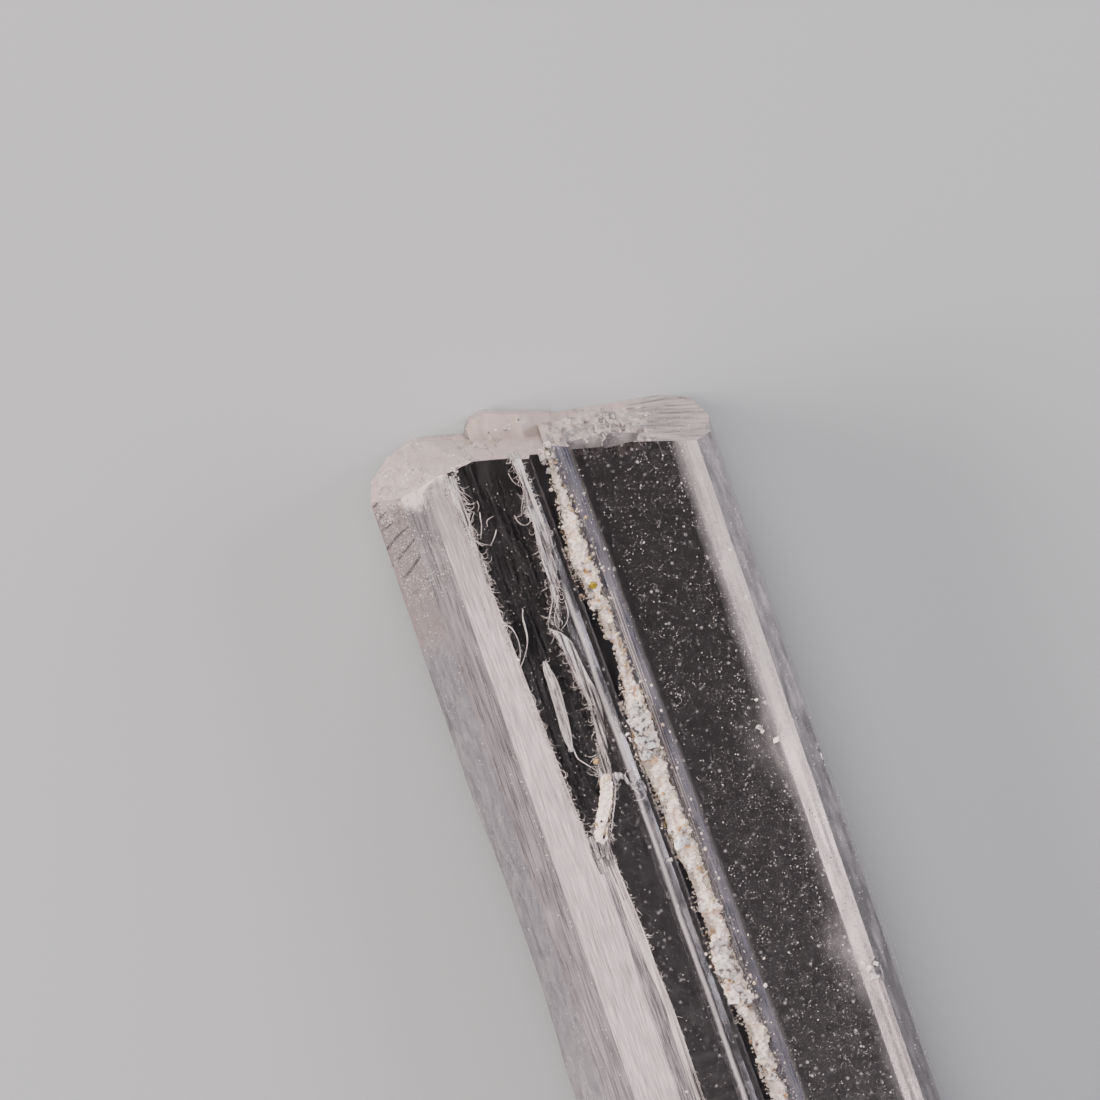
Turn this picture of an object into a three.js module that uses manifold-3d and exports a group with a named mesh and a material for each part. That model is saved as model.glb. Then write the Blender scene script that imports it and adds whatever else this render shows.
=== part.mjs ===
// A clear twinned nifontovite crystal lying on its flat back, with the mineral crust in its front groove and the
// vein along its torn seam. Millimetres. +Y runs along the crystal to its termination, +X to its right seen from
// above, +Z up. The origin is on the resting face, at the middle of the bounding box.
import * as THREE from "three";
import { mergeVertices } from "three/addons/utils/BufferGeometryUtils.js";
import Module from "manifold-3d";

const wasm = await Module();
wasm.setup();

// ---- Driving dimensions -------------------------------------------------------------------------------------
const LENGTH = 30.3; // broken foot to the tip of the back crystal
const WIDTH = 10; // across the two side faces
const THICKNESS = 7; // resting face to the crest of the right front face

const HALF_LENGTH = LENGTH / 2;
const HALF_WIDTH = WIDTH / 2;
const BLOCK = 60; // side of a block big enough to cut away everything past a face

// Faces of the prism, named by where they lie in the cross-section. Each passes through (x, z) at mid-length, and
// its outward normal leans `lean` degrees up from +X. `drift` is the normal's part along +Y, which makes a face
// run slightly out of line with the length.
const PRISM_FACES = [
  { name: "left side", x: -HALF_WIDTH, z: 3.35, lean: 156 },
  { name: "left outer front", x: -4.22, z: 5.25, lean: 132.5 },
  { name: "left inner front", x: -3.42, z: 6.0, lean: 122 },
  { name: "splintered ledge", x: -2.1, z: 6.82, lean: 103, drift: -0.002 },
  { name: "right bevel", x: 4.41, z: 6.78, lean: 22 },
  { name: "right upper side", x: HALF_WIDTH, z: 3.35, lean: 4 },
  { name: "right lower side", x: HALF_WIDTH, z: 3.35, lean: -7 },
  { name: "right back", x: 3.84, z: 0, lean: -38 },
  { name: "left back", x: -3.3, z: 0, lean: 222 },
  { name: "left lower side", x: -HALF_WIDTH, z: 3.35, lean: 187 },
];
// The halves of the twin meet at the groove, and each has a front face of its own.
const TWIN_X = 0.25;
const LEFT_FRONT = { name: "left front", x: -0.6, z: 6.95, lean: 91.5 };
const RIGHT_FRONT = { name: "right front", x: 1.02, z: THICKNESS, lean: 88 };

// Faces that end each half of the twin: the height y at x = 0, z = 0, and how it changes with x and z.
const LEFT_END = [
  { y: 14.2, perX: -0.248, perZ: -0.141 },
  { y: 15.34, perX: 0.1, perZ: -0.22 },
  { y: 16.89, perX: 0.455, perZ: -0.3 },
];
const RIGHT_END = [
  { y: 14.55, perX: -0.175, perZ: -0.164 },
  { y: 15.25, perX: -0.324, perZ: -0.232 },
  { y: 25.85, perX: -2.54, perZ: -0.1 },
];
// The broken foot is an uneven surface: a shell-shaped break that spreads from the front right edge, with a step
// across it. `y` is its lowest level, `bowl` how fast it rises with distance from where the break began, and
// `ripple` the height of the rings round that point.
const BREAK = { y: -15.215, fromX: 3.9, fromZ: 7.6, bowl: 0.021, ripple: 0.09, stepX: -1.4, step: 0.42 };

// The back crystal, a sliver of the twin that stands past the termination, and the faces of its end.
const BACK_CRYSTAL = { left: -1.85, right: 0.7, top: 2.1, foot: 6 };
const BACK_CRYSTAL_END = [
  { y: 14.75, perX: -0.35, perZ: -0.08 },
  { y: 15.34, perX: 0.17, perZ: -0.1 },
  { y: 17.24, perX: 1.35, perZ: -0.1 },
];

// Re-entrant grooves of the twin boundary. The front one holds the crust, and both run at a slight yaw.
const GROOVE_YAW = 1.0; // degrees
const GROOVE_FLOOR = 6.1;
const FRONT_GROOVE = [
  [-0.12, 7.6],
  [0.0, GROOVE_FLOOR],
  [0.5, GROOVE_FLOOR],
  [1.07, 6.99],
  [1.39, 7.6],
];
const BACK_GROOVE = [
  [-0.82, -0.3],
  [-0.4, 0.3],
  [-0.3, 0.3],
  [0.08, -0.3],
];

// The pocket that a cleaved flake left on the left front. Its floor is a plane that climbs towards the foot, and
// its right wall is the torn seam, given as points (x, y) from the termination down.
const POCKET_FLOOR = { z: 6.5, y: 13.42, perY: -0.0215 };
const SEAM = [
  [-0.76, 13.42],
  [-0.71, 12.71],
  [-0.79, 12.23],
  [-1.1, 11.72],
  [-0.85, 11.16],
  [-0.9, 10.03],
  [-1.1, 9.32],
  [-1.33, 8.56],
  [-1.16, 7.49],
  [-0.93, 6.36],
  [-0.93, 5.08],
  [-0.93, 4.3],
  [-1.04, 3.7],
  [-1.26, 3.2],
  [-1.5, 2.7],
  [-1.63, 2.3],
  [-1.79, 2.0],
  [-2.3, 1.9],
];

// Ledges struck off the termination and the foot's rim: a block of `size`, centred at `at` and turned by `turn`
// degrees about x, y and z, is taken away.
const LEDGES = [
  { at: [1.45, 13.5, 6.8], size: [0.95, 1.0, 1.7], turn: [-10, 8, -14] },
  { at: [2.35, 13.33, 6.6], size: [0.9, 1.15, 2.1], turn: [-14, -6, -4] },
  { at: [3.2, 13.4, 6.9], size: [0.75, 1.1, 1.2], turn: [-10, 12, -24] },
  { at: [2.6, 14.1, 4.6], size: [1.5, 0.7, 1.4], turn: [14, 10, -16] },
  { at: [-0.16, 14.0, 6.7], size: [0.26, 1.1, 1.7], turn: [0, -8, 6] },
  { at: [-3.9, -14.6, 6.0], size: [2.6, 1.5, 1.5], turn: [22, 34, -16] },
  { at: [4.9, -14.8, 0.9], size: [1.6, 1.6, 2.2], turn: [-12, -30, 24] },
];
// Shell-shaped breaks, where a lens with these half-sizes is taken away.
const BREAKS = [
  { at: [2.2, 13.85, 6.3], half: [1.45, 0.8, 1.5], turn: [8, 0, -10] },
  { at: [1.0, 14.3, 5.2], half: [0.9, 0.4, 1.5], turn: [0, 10, -14] },
  { at: [-1.3, 14.75, 3.6], half: [1.1, 0.3, 1.3], turn: [-10, 0, 6] },
  { at: [-2.5, 14.95, 4.2], half: [0.4, 0.7, 1.5], turn: [12, 0, -30] },
  { at: [4.98, 2.9, 5.9], half: [0.24, 0.7, 0.42], turn: [6, 10, -5] },
  { at: [4.99, 0.3, 5.7], half: [0.22, 0.45, 0.5], turn: [0, 4, 6] },
  { at: [4.55, -3.6, 6.95], half: [0.32, 0.5, 0.3], turn: [9, 28, 12] },
  { at: [4.95, -8.9, 5.9], half: [0.26, 1.1, 0.5], turn: [0, 8, -6] },
  { at: [-5.35, 0.4, 3.3], half: [0.52, 5.6, 2.4], turn: [0, 0, 0] },
  { at: [-4.3, 6.1, 5.55], half: [0.2, 0.7, 0.25], turn: [0, 40, 4] },
  { at: [-4.32, -6.4, 5.55], half: [0.28, 1.3, 0.3], turn: [0, 36, -5] },
];

// The crust in the front groove: a crumbly ridge with small blocky crystals set in it.
const CRUST = { foot: -14.5, tip: 13.3, floorX: 0.2, halfWidth: 0.31, height: 0.88, steps: 100 };
const GRAINS = 46; // blocky crystals along the crust
const GRAIN_SIZE = 0.19; // radius of a middling one

// The vein that fills the lower stretch of the seam, on the pocket's floor: points (x, y) of its middle line.
const VEIN_LINE = [
  [-1.13, 4.14],
  [-1.28, 3.6],
  [-1.53, 3.12],
  [-1.75, 2.72],
  [-1.88, 2.3],
];
const VEIN = { halfWidth: 0.19, height: 0.16, steps: 18 };

const CLEAR = 0.02; // gap that mineral fillings keep to the crystal's walls

// ---- Small tools --------------------------------------------------------------------------------------------
const radians = THREE.MathUtils.degToRad;

/** A closed three.js geometry as a solid that can be joined and cut. */
function solidOf(geometry) {
  const bare = new THREE.BufferGeometry();
  const source = geometry.index ? geometry.toNonIndexed() : geometry;
  bare.setAttribute("position", source.getAttribute("position"));
  const merged = mergeVertices(bare, 1e-4);
  return new wasm.Manifold(
    new wasm.Mesh({
      numProp: 3,
      vertProperties: new Float32Array(merged.attributes.position.array),
      triVerts: new Uint32Array(merged.index.array),
    }),
  );
}

/** A solid as a three.js geometry with flat faces. */
function geometryOf(solid) {
  const mesh = solid.getMesh();
  const corners = new Float32Array(mesh.numVert * 3);
  for (let i = 0; i < mesh.numVert; i += 1) {
    const start = i * mesh.numProp;
    corners.set(mesh.vertProperties.subarray(start, start + 3), i * 3);
  }
  const indexed = new THREE.BufferGeometry();
  indexed.setAttribute("position", new THREE.BufferAttribute(corners, 3));
  indexed.setIndex(new THREE.BufferAttribute(mesh.triVerts, 1));
  const flat = indexed.toNonIndexed();
  flat.computeVertexNormals();
  return flat;
}

/** The block that fills everything past a face with this outward normal through this point. */
function beyond(normal, point) {
  const out = normal.clone().normalize();
  const turn = new THREE.Quaternion().setFromUnitVectors(new THREE.Vector3(0, 0, 1), out);
  const block = new THREE.BoxGeometry(BLOCK, BLOCK, BLOCK);
  block.applyQuaternion(turn);
  const centre = point.clone().addScaledVector(out, BLOCK / 2);
  block.translate(centre.x, centre.y, centre.z);
  return solidOf(block);
}

/** Past a face of the prism. */
function beyondPrismFace({ x, z, lean, drift = 0 }) {
  const normal = new THREE.Vector3(Math.cos(radians(lean)), drift, Math.sin(radians(lean)));
  return beyond(normal, new THREE.Vector3(x, 0, z));
}

/** Past a face that closes the end towards the termination. */
function beyondEndFace({ y, perX, perZ }) {
  return beyond(new THREE.Vector3(-perX, 1, -perZ), new THREE.Vector3(0, y, 0));
}

/** Past the broken foot: a slab whose near face follows the break. */
function beyondBreak() {
  const { y, fromX, fromZ, bowl, ripple, stepX, step } = BREAK;
  const depth = 4;
  const slab = new THREE.BoxGeometry(WIDTH + 1, depth, THICKNESS + 1, 22, 1, 16);
  slab.translate(0, y - depth / 2, THICKNESS / 2);
  const place = slab.getAttribute("position");
  for (let i = 0; i < place.count; i += 1) {
    if (place.getY(i) > y - depth / 2) {
      const x = place.getX(i);
      const z = place.getZ(i);
      const away = Math.hypot(x - fromX, z - fromZ);
      const edge = stepX + 0.25 * Math.sin(1.7 * z);
      const ledge = step * THREE.MathUtils.smoothstep(edge - x, 0, 0.5);
      const rings = ripple * (1 + Math.sin(2.4 * away + 0.5 * Math.sin(x)));
      place.setY(i, y + bowl * away * away + rings - ledge * 0.8);
    }
  }
  return solidOf(slab);
}

/** A bar along Y with this outline in x and z, from y = foot to y = tip. */
function bar(outline, foot, tip) {
  const shape = new THREE.Shape(outline.map(([x, z]) => new THREE.Vector2(x, z)));
  const extruded = new THREE.ExtrudeGeometry(shape, { depth: tip - foot, bevelEnabled: false });
  return extruded.rotateX(Math.PI / 2).translate(0, tip, 0);
}

/** A block of this size, turned by degrees about x, y and z, centred at a point. */
function turnedBlock({ at, size, turn }) {
  const block = new THREE.BoxGeometry(...size);
  const angles = new THREE.Euler(...turn.map(radians));
  block.applyQuaternion(new THREE.Quaternion().setFromEuler(angles));
  return solidOf(block.translate(...at));
}

/** A lens of these half-sizes with broad flat scales, turned by degrees about x, y and z, centred at a point. */
function turnedLens({ at, half, turn }) {
  const lens = new THREE.IcosahedronGeometry(1, 2).scale(...half);
  const angles = new THREE.Euler(...turn.map(radians));
  lens.applyQuaternion(new THREE.Quaternion().setFromEuler(angles));
  return solidOf(lens.translate(...at));
}

/** Evenly spread numbers from 0 to 1 that repeat the same way each time. */
function spreadNumbers(seed) {
  let state = seed;
  return () => {
    state = (state * 16807) % 2147483647;
    return state / 2147483647;
  };
}

// ---- The crystal --------------------------------------------------------------------------------------------
/** Half of the twin: the shared prism faces round a bar, with its own front face and its own end faces. */
function individual(front, endFaces, keepFrom, keepTo) {
  const outline = [
    [keepFrom, 0],
    [keepTo, 0],
    [keepTo, THICKNESS + 1],
    [keepFrom, THICKNESS + 1],
  ];
  let solid = solidOf(bar(outline, -HALF_LENGTH - 1, HALF_LENGTH + 1));
  for (const face of [...PRISM_FACES, front]) {
    solid = solid.subtract(beyondPrismFace(face));
  }
  for (const face of endFaces) {
    solid = solid.subtract(beyondEndFace(face));
  }
  return solid;
}

function pocket() {
  const [firstX] = SEAM[0];
  const outline = [[-HALF_WIDTH, HALF_LENGTH + 1], [firstX, HALF_LENGTH + 1], ...SEAM];
  outline.push([-HALF_WIDTH, SEAM.at(-1)[1]]);
  const shape = new THREE.Shape(outline.map(([x, y]) => new THREE.Vector2(x, y)));
  const block = new THREE.ExtrudeGeometry(shape, { depth: 2, bevelEnabled: false });
  const { z, y, perY } = POCKET_FLOOR;
  const above = new THREE.Matrix4().makeShear(0, 0, 0, perY, 0, 0);
  block.applyMatrix4(above);
  return solidOf(block.translate(0, 0, z - perY * y));
}

function crystalSolid() {
  const left = individual(LEFT_FRONT, LEFT_END, -HALF_WIDTH - 1, TWIN_X);
  const right = individual(RIGHT_FRONT, RIGHT_END, TWIN_X, HALF_WIDTH + 1);
  let solid = left.add(right).add(backCrystal());
  for (const outline of [FRONT_GROOVE, BACK_GROOVE]) {
    const groove = bar(outline, -HALF_LENGTH - 2, HALF_LENGTH + 2).rotateZ(radians(GROOVE_YAW));
    solid = solid.subtract(solidOf(groove));
  }
  solid = solid.subtract(pocket());
  solid = solid.subtract(beyondBreak());
  for (const ledge of LEDGES) {
    solid = solid.subtract(turnedBlock(ledge));
  }
  for (const bite of BREAKS) {
    solid = solid.subtract(turnedLens(bite));
  }
  return solid;
}

/** The sliver of the twin that stands past the termination at the back. */
function backCrystal() {
  const { left, right, top, foot } = BACK_CRYSTAL;
  const outline = [
    [left + 0.1, 0],
    [right, 0],
    [right, top * 0.8],
    [right - 0.9, top],
    [left + 0.12, top * 0.75],
    [left, top * 0.4],
  ];
  let sliver = solidOf(bar(outline, foot, HALF_LENGTH + 1));
  for (const face of BACK_CRYSTAL_END) {
    sliver = sliver.subtract(beyondEndFace(face));
  }
  return sliver;
}

// ---- The crust and the vein ---------------------------------------------------------------------------------
/** How proud a ridge stands at (across, y), from -1 to 1, out of waves that never quite repeat. */
function lumpiness(across, y, phase) {
  const slow = Math.sin(1.3 * y + phase + 1.1 * across);
  const middling = Math.sin(3.7 * y - 2.3 * across + 2 * phase);
  const quick = Math.sin(8.9 * y + 4.1 * across) * Math.cos(5.3 * y - 3 * phase);
  return 0.4 * slow + 0.3 * middling + 0.3 * quick;
}

/** A lumpy ridge that lies along a line in the xy plane, flat underneath. */
function ridge(points, floorAt, { halfWidth, height, steps }, phase) {
  const line = new THREE.CatmullRomCurve3(points.map(([x, y]) => new THREE.Vector3(x, y, 0)));
  const length = line.getLength();
  const block = new THREE.BoxGeometry(1, length, 1, 5, steps, 2);
  const place = block.getAttribute("position");
  const up = new THREE.Vector3(0, 0, 1);
  for (let i = 0; i < place.count; i += 1) {
    const along = THREE.MathUtils.clamp(0.5 - place.getY(i) / length, 0, 1);
    const middle = line.getPointAt(along);
    const side = new THREE.Vector3().crossVectors(line.getTangentAt(along), up);
    const across = place.getX(i) * 2;
    const rise = place.getZ(i) + 0.5;
    const lump = lumpiness(across, middle.y, phase);
    const taper = Math.min(1, 0.4 + 9 * along * (1 - along));
    const crown = 1 - 0.3 * across * across * rise;
    const half = halfWidth * (1 + 0.35 * rise * lump) * taper;
    const point = middle.addScaledVector(side, -across * half);
    const top = height * crown * (0.86 + 0.2 * lump) * taper;
    place.setXYZ(i, point.x, point.y, floorAt(point.y) + rise * top);
  }
  return solidOf(block);
}

/** What is left of a filling once it keeps its gap to the walls and the floor it grew on. */
function clearOf(filling, crystal) {
  const shifts = [
    [CLEAR, 0, 0],
    [-CLEAR, 0, 0],
    [0, 0, CLEAR],
  ];
  let rest = filling;
  for (const shift of shifts) {
    rest = rest.subtract(crystal.translate(shift));
  }
  return rest;
}

/** The biggest of a solid's separate pieces. */
function largestPiece(solid) {
  const pieces = solid.decompose();
  return pieces.reduce((best, piece) => (piece.volume() > best.volume() ? piece : best));
}

function crustSolid(crystal) {
  const { foot, tip, floorX } = CRUST;
  const slope = -Math.tan(radians(GROOVE_YAW));
  const middleAt = (y) => floorX + slope * y;
  const points = [
    [middleAt(tip), tip],
    [middleAt(0), 0],
    [middleAt(foot), foot],
  ];
  let solid = ridge(points, () => GROOVE_FLOOR, CRUST, 0.4);
  const next = spreadNumbers(7);
  for (let i = 0; i < GRAINS; i += 1) {
    const y = foot + 0.5 + ((tip - foot - 1) * (i + 0.7 * next())) / GRAINS;
    const size = GRAIN_SIZE * (0.6 + 0.8 * next());
    const grain = new THREE.DodecahedronGeometry(size, 0);
    grain.scale(1, 1.45, 0.9).rotateZ(next() * Math.PI).rotateY(next());
    const x = middleAt(y) + (next() - 0.55) * 0.42;
    solid = solid.add(solidOf(grain.translate(x, y, 6.74 + 0.14 * next())));
  }
  return largestPiece(clearOf(solid, crystal));
}

function veinSolid(crystal) {
  const { z, y, perY } = POCKET_FLOOR;
  const floorAt = (at) => z + (at - y) * perY + CLEAR;
  return largestPiece(clearOf(ridge(VEIN_LINE, floorAt, VEIN, 1.9), crystal));
}

// ---- The model ----------------------------------------------------------------------------------------------
const crystal = crystalSolid();

const clearCrystal = new THREE.MeshStandardMaterial({
  name: "clear crystal",
  color: 0xe9e4e6,
  roughness: 0.08,
  metalness: 0,
  transparent: true,
  opacity: 0.45,
});
const creamCrust = new THREE.MeshStandardMaterial({
  name: "cream crust",
  color: 0xd9cfc2,
  roughness: 0.85,
  metalness: 0,
});

function named(name, solid, material) {
  const mesh = new THREE.Mesh(geometryOf(solid), material);
  mesh.name = name;
  return mesh;
}

const model = new THREE.Group();
model.add(named("crystal", crystal, clearCrystal));
model.add(named("groove_crust", crustSolid(crystal), creamCrust));
model.add(named("seam_vein", veinSolid(crystal), creamCrust));

export default model;
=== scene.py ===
"""A clear twinned nifontovite crystal lying on its flat back, with a crusted groove and a torn seam."""
import math
import random

import bmesh
import bpy
from mathutils import Matrix, Vector, noise
from mathutils.bvhtree import BVHTree


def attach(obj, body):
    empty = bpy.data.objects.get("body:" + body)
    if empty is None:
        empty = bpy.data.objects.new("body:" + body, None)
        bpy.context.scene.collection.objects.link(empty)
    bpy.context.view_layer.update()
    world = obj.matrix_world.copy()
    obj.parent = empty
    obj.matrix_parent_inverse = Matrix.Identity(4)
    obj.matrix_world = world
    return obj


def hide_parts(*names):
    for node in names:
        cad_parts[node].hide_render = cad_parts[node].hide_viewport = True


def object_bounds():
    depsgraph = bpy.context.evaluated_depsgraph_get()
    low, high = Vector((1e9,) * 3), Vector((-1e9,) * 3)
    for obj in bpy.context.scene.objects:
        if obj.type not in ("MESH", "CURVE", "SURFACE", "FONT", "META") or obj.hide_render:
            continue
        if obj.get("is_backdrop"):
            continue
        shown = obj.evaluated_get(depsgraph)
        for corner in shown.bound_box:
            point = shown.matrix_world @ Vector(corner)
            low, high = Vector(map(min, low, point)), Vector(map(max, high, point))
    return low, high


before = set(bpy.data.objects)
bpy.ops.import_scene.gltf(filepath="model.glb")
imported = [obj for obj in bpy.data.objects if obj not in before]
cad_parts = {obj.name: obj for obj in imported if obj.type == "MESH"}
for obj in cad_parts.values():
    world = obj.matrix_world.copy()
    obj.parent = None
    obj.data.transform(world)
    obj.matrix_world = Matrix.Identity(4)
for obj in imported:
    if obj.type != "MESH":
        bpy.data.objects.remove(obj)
CAD_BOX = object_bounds()
MM = 0.001


# ---- Helpers -------------------------------------------------------------------------------------
def linear(colour):
    """A hex colour as seen on a screen, turned to the linear values that light is counted in."""
    parts = [int(colour[i : i + 2], 16) / 255 for i in (0, 2, 4)]
    parts = [p / 12.92 if p <= 0.04045 else ((p + 0.055) / 1.055) ** 2.4 for p in parts]
    return (*parts, 1.0)


def add(tree, kind, inputs, output=0, **settings):
    """Add a shader node with its settings, and a value or another node's socket on each input, by name or in
    order. Gives back one of its outputs."""
    made = tree.nodes.new("ShaderNode" + kind)
    for name, value in settings.items():
        setattr(made, name, value)
    for name, value in inputs.items() if isinstance(inputs, dict) else enumerate(inputs):
        if isinstance(value, bpy.types.NodeSocket):
            tree.links.new(value, made.inputs[name])
        else:
            made.inputs[name].default_value = value
    return made.outputs[output] if made.outputs else None


def placed(name, data):
    """Put a mesh, light or camera in the scene."""
    made = bpy.data.objects.new(name, data)
    bpy.context.scene.collection.objects.link(made)
    return made


def piece(name, mesh, materials, replaces=None):
    """Put a finished mesh in the scene as a piece that rides with the crystal."""
    made = placed(name, mesh)
    for material in materials:
        mesh.materials.append(material)
    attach(made, "root")
    if replaces:
        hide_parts(replaces)


# ---- Materials -----------------------------------------------------------------------------------
IOR = 1.58  # nifontovite
EVENLY = (1, 1, 1)
ALONG = (1, 0.045, 1)  # draws a pattern out into lines that run along the crystal
ACROSS = (0.03, 0.1, 0.14)  # into lines that run across its end
DOWN = (1, 0.3, 0.12)  # and into lines that run down its end
RIME = linear("fff1ec")  # where a face is frosted all over


def material_tree(name):
    """A new material with an empty node tree, and the place on the object in mm, which its patterns read."""
    material = bpy.data.materials.new(name)
    material.use_nodes = True
    tree = material.node_tree
    tree.nodes.clear()
    metres = add(tree, "TexCoord", (), "Object")
    place = add(tree, "VectorMath", (metres, (1 / MM, 1 / MM, 1 / MM)), operation="MULTIPLY")
    return material, tree, place


def shaded(tree, inputs):
    """Close a tree with a principled shader."""
    shader = add(tree, "BsdfPrincipled", inputs)
    add(tree, "OutputMaterial", {"Surface": shader})


def streaks(tree, place, run, fine, detail=4.0):
    """Noise in lumps of about 1 / fine mm, drawn out along an axis where its part of `run` is below 1."""
    drawn = add(tree, "VectorMath", (place, run), operation="MULTIPLY")
    return add(tree, "TexNoise", {"Vector": drawn, "Scale": fine, "Detail": detail})


def frosted(tree, place, sway, frost, colour, clear):
    """Turn a face white and cloudy along a direction, between two levels in mm."""
    direction, start, stop = frost
    height = add(tree, "VectorMath", (place, direction), "Value", operation="DOT_PRODUCT")
    reach = add(tree, "Math", (sway, 2.5, height), operation="MULTIPLY_ADD")
    rime = add(tree, "MapRange", (reach, start, stop, 0, 0.8))
    cloud = add(tree, "MapRange", (rime, 0, 1, 1, 0.3))
    colour = add(tree, "Mix", {0: rime, 6: colour, 7: RIME}, 2, data_type="RGBA")
    return colour, add(tree, "Math", (clear, cloud), operation="MULTIPLY")


def cracked(tree, place, darkness, colour):
    """Draw hair cracks about 0.04 mm wide, in some patches of a face and not in others."""
    ridge = add(tree, "Math", (streaks(tree, place, DOWN, 1.6, 3.0), 0.5), operation="SUBTRACT")
    ridge = add(tree, "Math", (ridge,), operation="ABSOLUTE")
    ridge = add(tree, "MapRange", (ridge, 0.006, 0.018, 1, 0))
    patch = add(tree, "MapRange", (streaks(tree, place, DOWN, 0.8, 1.0), 0.47, 0.53, 0, darkness))
    crack = add(tree, "Math", (ridge, patch), operation="MULTIPLY")
    return add(tree, "Mix", {0: crack, 6: colour, 7: linear("3a3435")}, 2, data_type="RGBA")


def browned_with_painted_step_shade(tree, place, steps, colour, clear):
    """Make a face browner, with the shade of steps painted in as dark lines, each about 0.06 mm wide and 0.3
    mm from the next.
    """
    direction, start, stop = steps
    y = add(tree, "VectorMath", (place, (0, 1, 0)), "Value", operation="DOT_PRODUCT")
    brown = add(tree, "MapRange", (y, start, start + 0.6, 0, 0.7))
    cloud = add(tree, "MapRange", (brown, 0, 0.7, 1, 0.75))
    colour = add(tree, "Mix", {0: brown, 6: colour, 7: linear("a38d87")}, 2, data_type="RGBA")
    clear = add(tree, "Math", (clear, cloud), operation="MULTIPLY")
    # The steps lie at uneven distances, and most of them cross only a part of the face.
    across = add(tree, "VectorMath", (place, direction), "Value", operation="DOT_PRODUCT")
    shift = add(tree, "Math", (streaks(tree, place, (0.1, 1, 0.1), 0.9, 0.0), 3.0), operation="MULTIPLY")
    rank = add(tree, "Math", (across, 2.6, shift), operation="MULTIPLY_ADD")
    from_step = add(tree, "Math", (rank, 0.5), operation="PINGPONG")
    step = add(tree, "MapRange", (from_step, 0.06, 0.13, 1, 0))
    reach = add(tree, "Math", (add(tree, "MapRange", (y, start, stop, 0.2, 1)), brown), operation="MULTIPLY")
    part = add(tree, "MapRange", (streaks(tree, place, (1, 0.8, 1), 1.2, 1.0), 0.44, 0.52, 0, 1.35))
    part = add(tree, "Math", (part, reach), operation="MULTIPLY")
    step = add(tree, "Math", (step, part), operation="MULTIPLY")
    # Painted shade of the steps: they turn dark and let less light through.
    shadow = add(tree, "MapRange", (step, 0, 0.7, 1, 0.1))
    colour = add(tree, "Mix", {0: step, 6: colour, 7: linear("2c282a")}, 2, data_type="RGBA")
    return colour, add(tree, "Math", (clear, shadow), operation="MULTIPLY")


def nifontovite(
    name,
    tints,
    clarity,
    haze,
    grain,
    run=ALONG,
    fine=14.0,
    contrast=(0.4, 0.6),
    cracks=0.0,
    fade=None,
    frost=None,
    steps=None,
):
    """A face of the crystal, from its cleanest streaks to its cloudiest: the first of each pair of values is
    for the clean ones. Tints are the colours, clarity is how much light goes through, and haze is the
    roughness. Grain is the depth in mm of the lines, which lie 1 / fine mm apart and are drawn out by `run`.
    A narrow contrast makes sharper streaks. Cracks is how dark its hair cracks are. Fade is a direction, the
    levels in mm between which the face grows cloudier, and by how much. Frost is a direction and the levels
    between which it turns white. Steps is the direction across the etched steps, whose shade is painted in
    as dark lines, and the levels in y between which they set in."""
    material, tree, place = material_tree(name)
    lines = streaks(tree, place, run, fine)
    clouds = streaks(tree, place, EVENLY, 0.9, 5.0)
    mix = add(tree, "Mix", {"Factor": 0.8, "A": clouds, "B": lines})
    cloudy = add(tree, "MapRange", (mix, *contrast, 0, 1))
    sway = add(tree, "Math", (clouds, 0.5), operation="SUBTRACT")
    if fade:
        direction, start, stop, change = fade
        height = add(tree, "VectorMath", (place, direction), "Value", operation="DOT_PRODUCT")
        reach = add(tree, "Math", (height, sway), operation="ADD")
        more = add(tree, "MapRange", (reach, start, stop, 0, change))
        cloudy = add(tree, "Math", (cloudy, more), operation="ADD")
    colour = add(tree, "Mix", {0: cloudy, 6: linear(tints[0]), 7: linear(tints[1])}, 2, data_type="RGBA")
    clear = add(tree, "MapRange", (cloudy, 0, 1, *clarity))
    if frost:
        colour, clear = frosted(tree, place, sway, frost, colour, clear)
    if cracks:
        colour = cracked(tree, place, cracks, colour)
    if steps:
        colour, clear = browned_with_painted_step_shade(tree, place, steps, colour, clear)
    shaded(
        tree,
        {
            "Base Color": colour,
            "Roughness": add(tree, "MapRange", (cloudy, 0, 1, *haze)),
            "Transmission Weight": clear,
            "Normal": add(tree, "Bump", {"Strength": 1.0, "Distance": grain * MM, "Height": lines}),
            "IOR": IOR,
        },
    )
    return material


LINE_X, LINE_YAW, LINE_TIP = -0.452, 0.008, 9.8  # mm, the growth line on the left front, and its end
GROOVE_YAW = math.tan(math.radians(1))  # how far the groove drifts to the left on its way up the crystal
GROOVE_RIGHT = 1.07  # mm, the groove's right rim at mid-length
BACK_EDGE = 3.84  # mm, where the back's bevel starts, which shows through the front as a pale band
VEILS = [((3.8, -2.9, 7), 0.14), ((3.5, 3.4, 7), 0.05), ((2.9, -8.0, 7), 0.1)]  # mm, and how hazy each is


def growth_line(tree, place, y, sway):
    """The haze of the growth line."""
    across = add(tree, "VectorMath", (place, (1, LINE_YAW, 0)), "Value", operation="DOT_PRODUCT")
    across = add(tree, "Math", (across, -LINE_X), operation="ADD")
    across = add(tree, "Math", (sway, 0.5, across), operation="MULTIPLY_ADD")
    line = add(tree, "MapRange", (add(tree, "Math", (across,), operation="ABSOLUTE"), 0.02, 0.09, 0.55, 0))
    tip = add(tree, "MapRange", (y, LINE_TIP - 0.6, LINE_TIP, 1, 0))
    return add(tree, "Math", (line, tip), operation="MULTIPLY")


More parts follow.
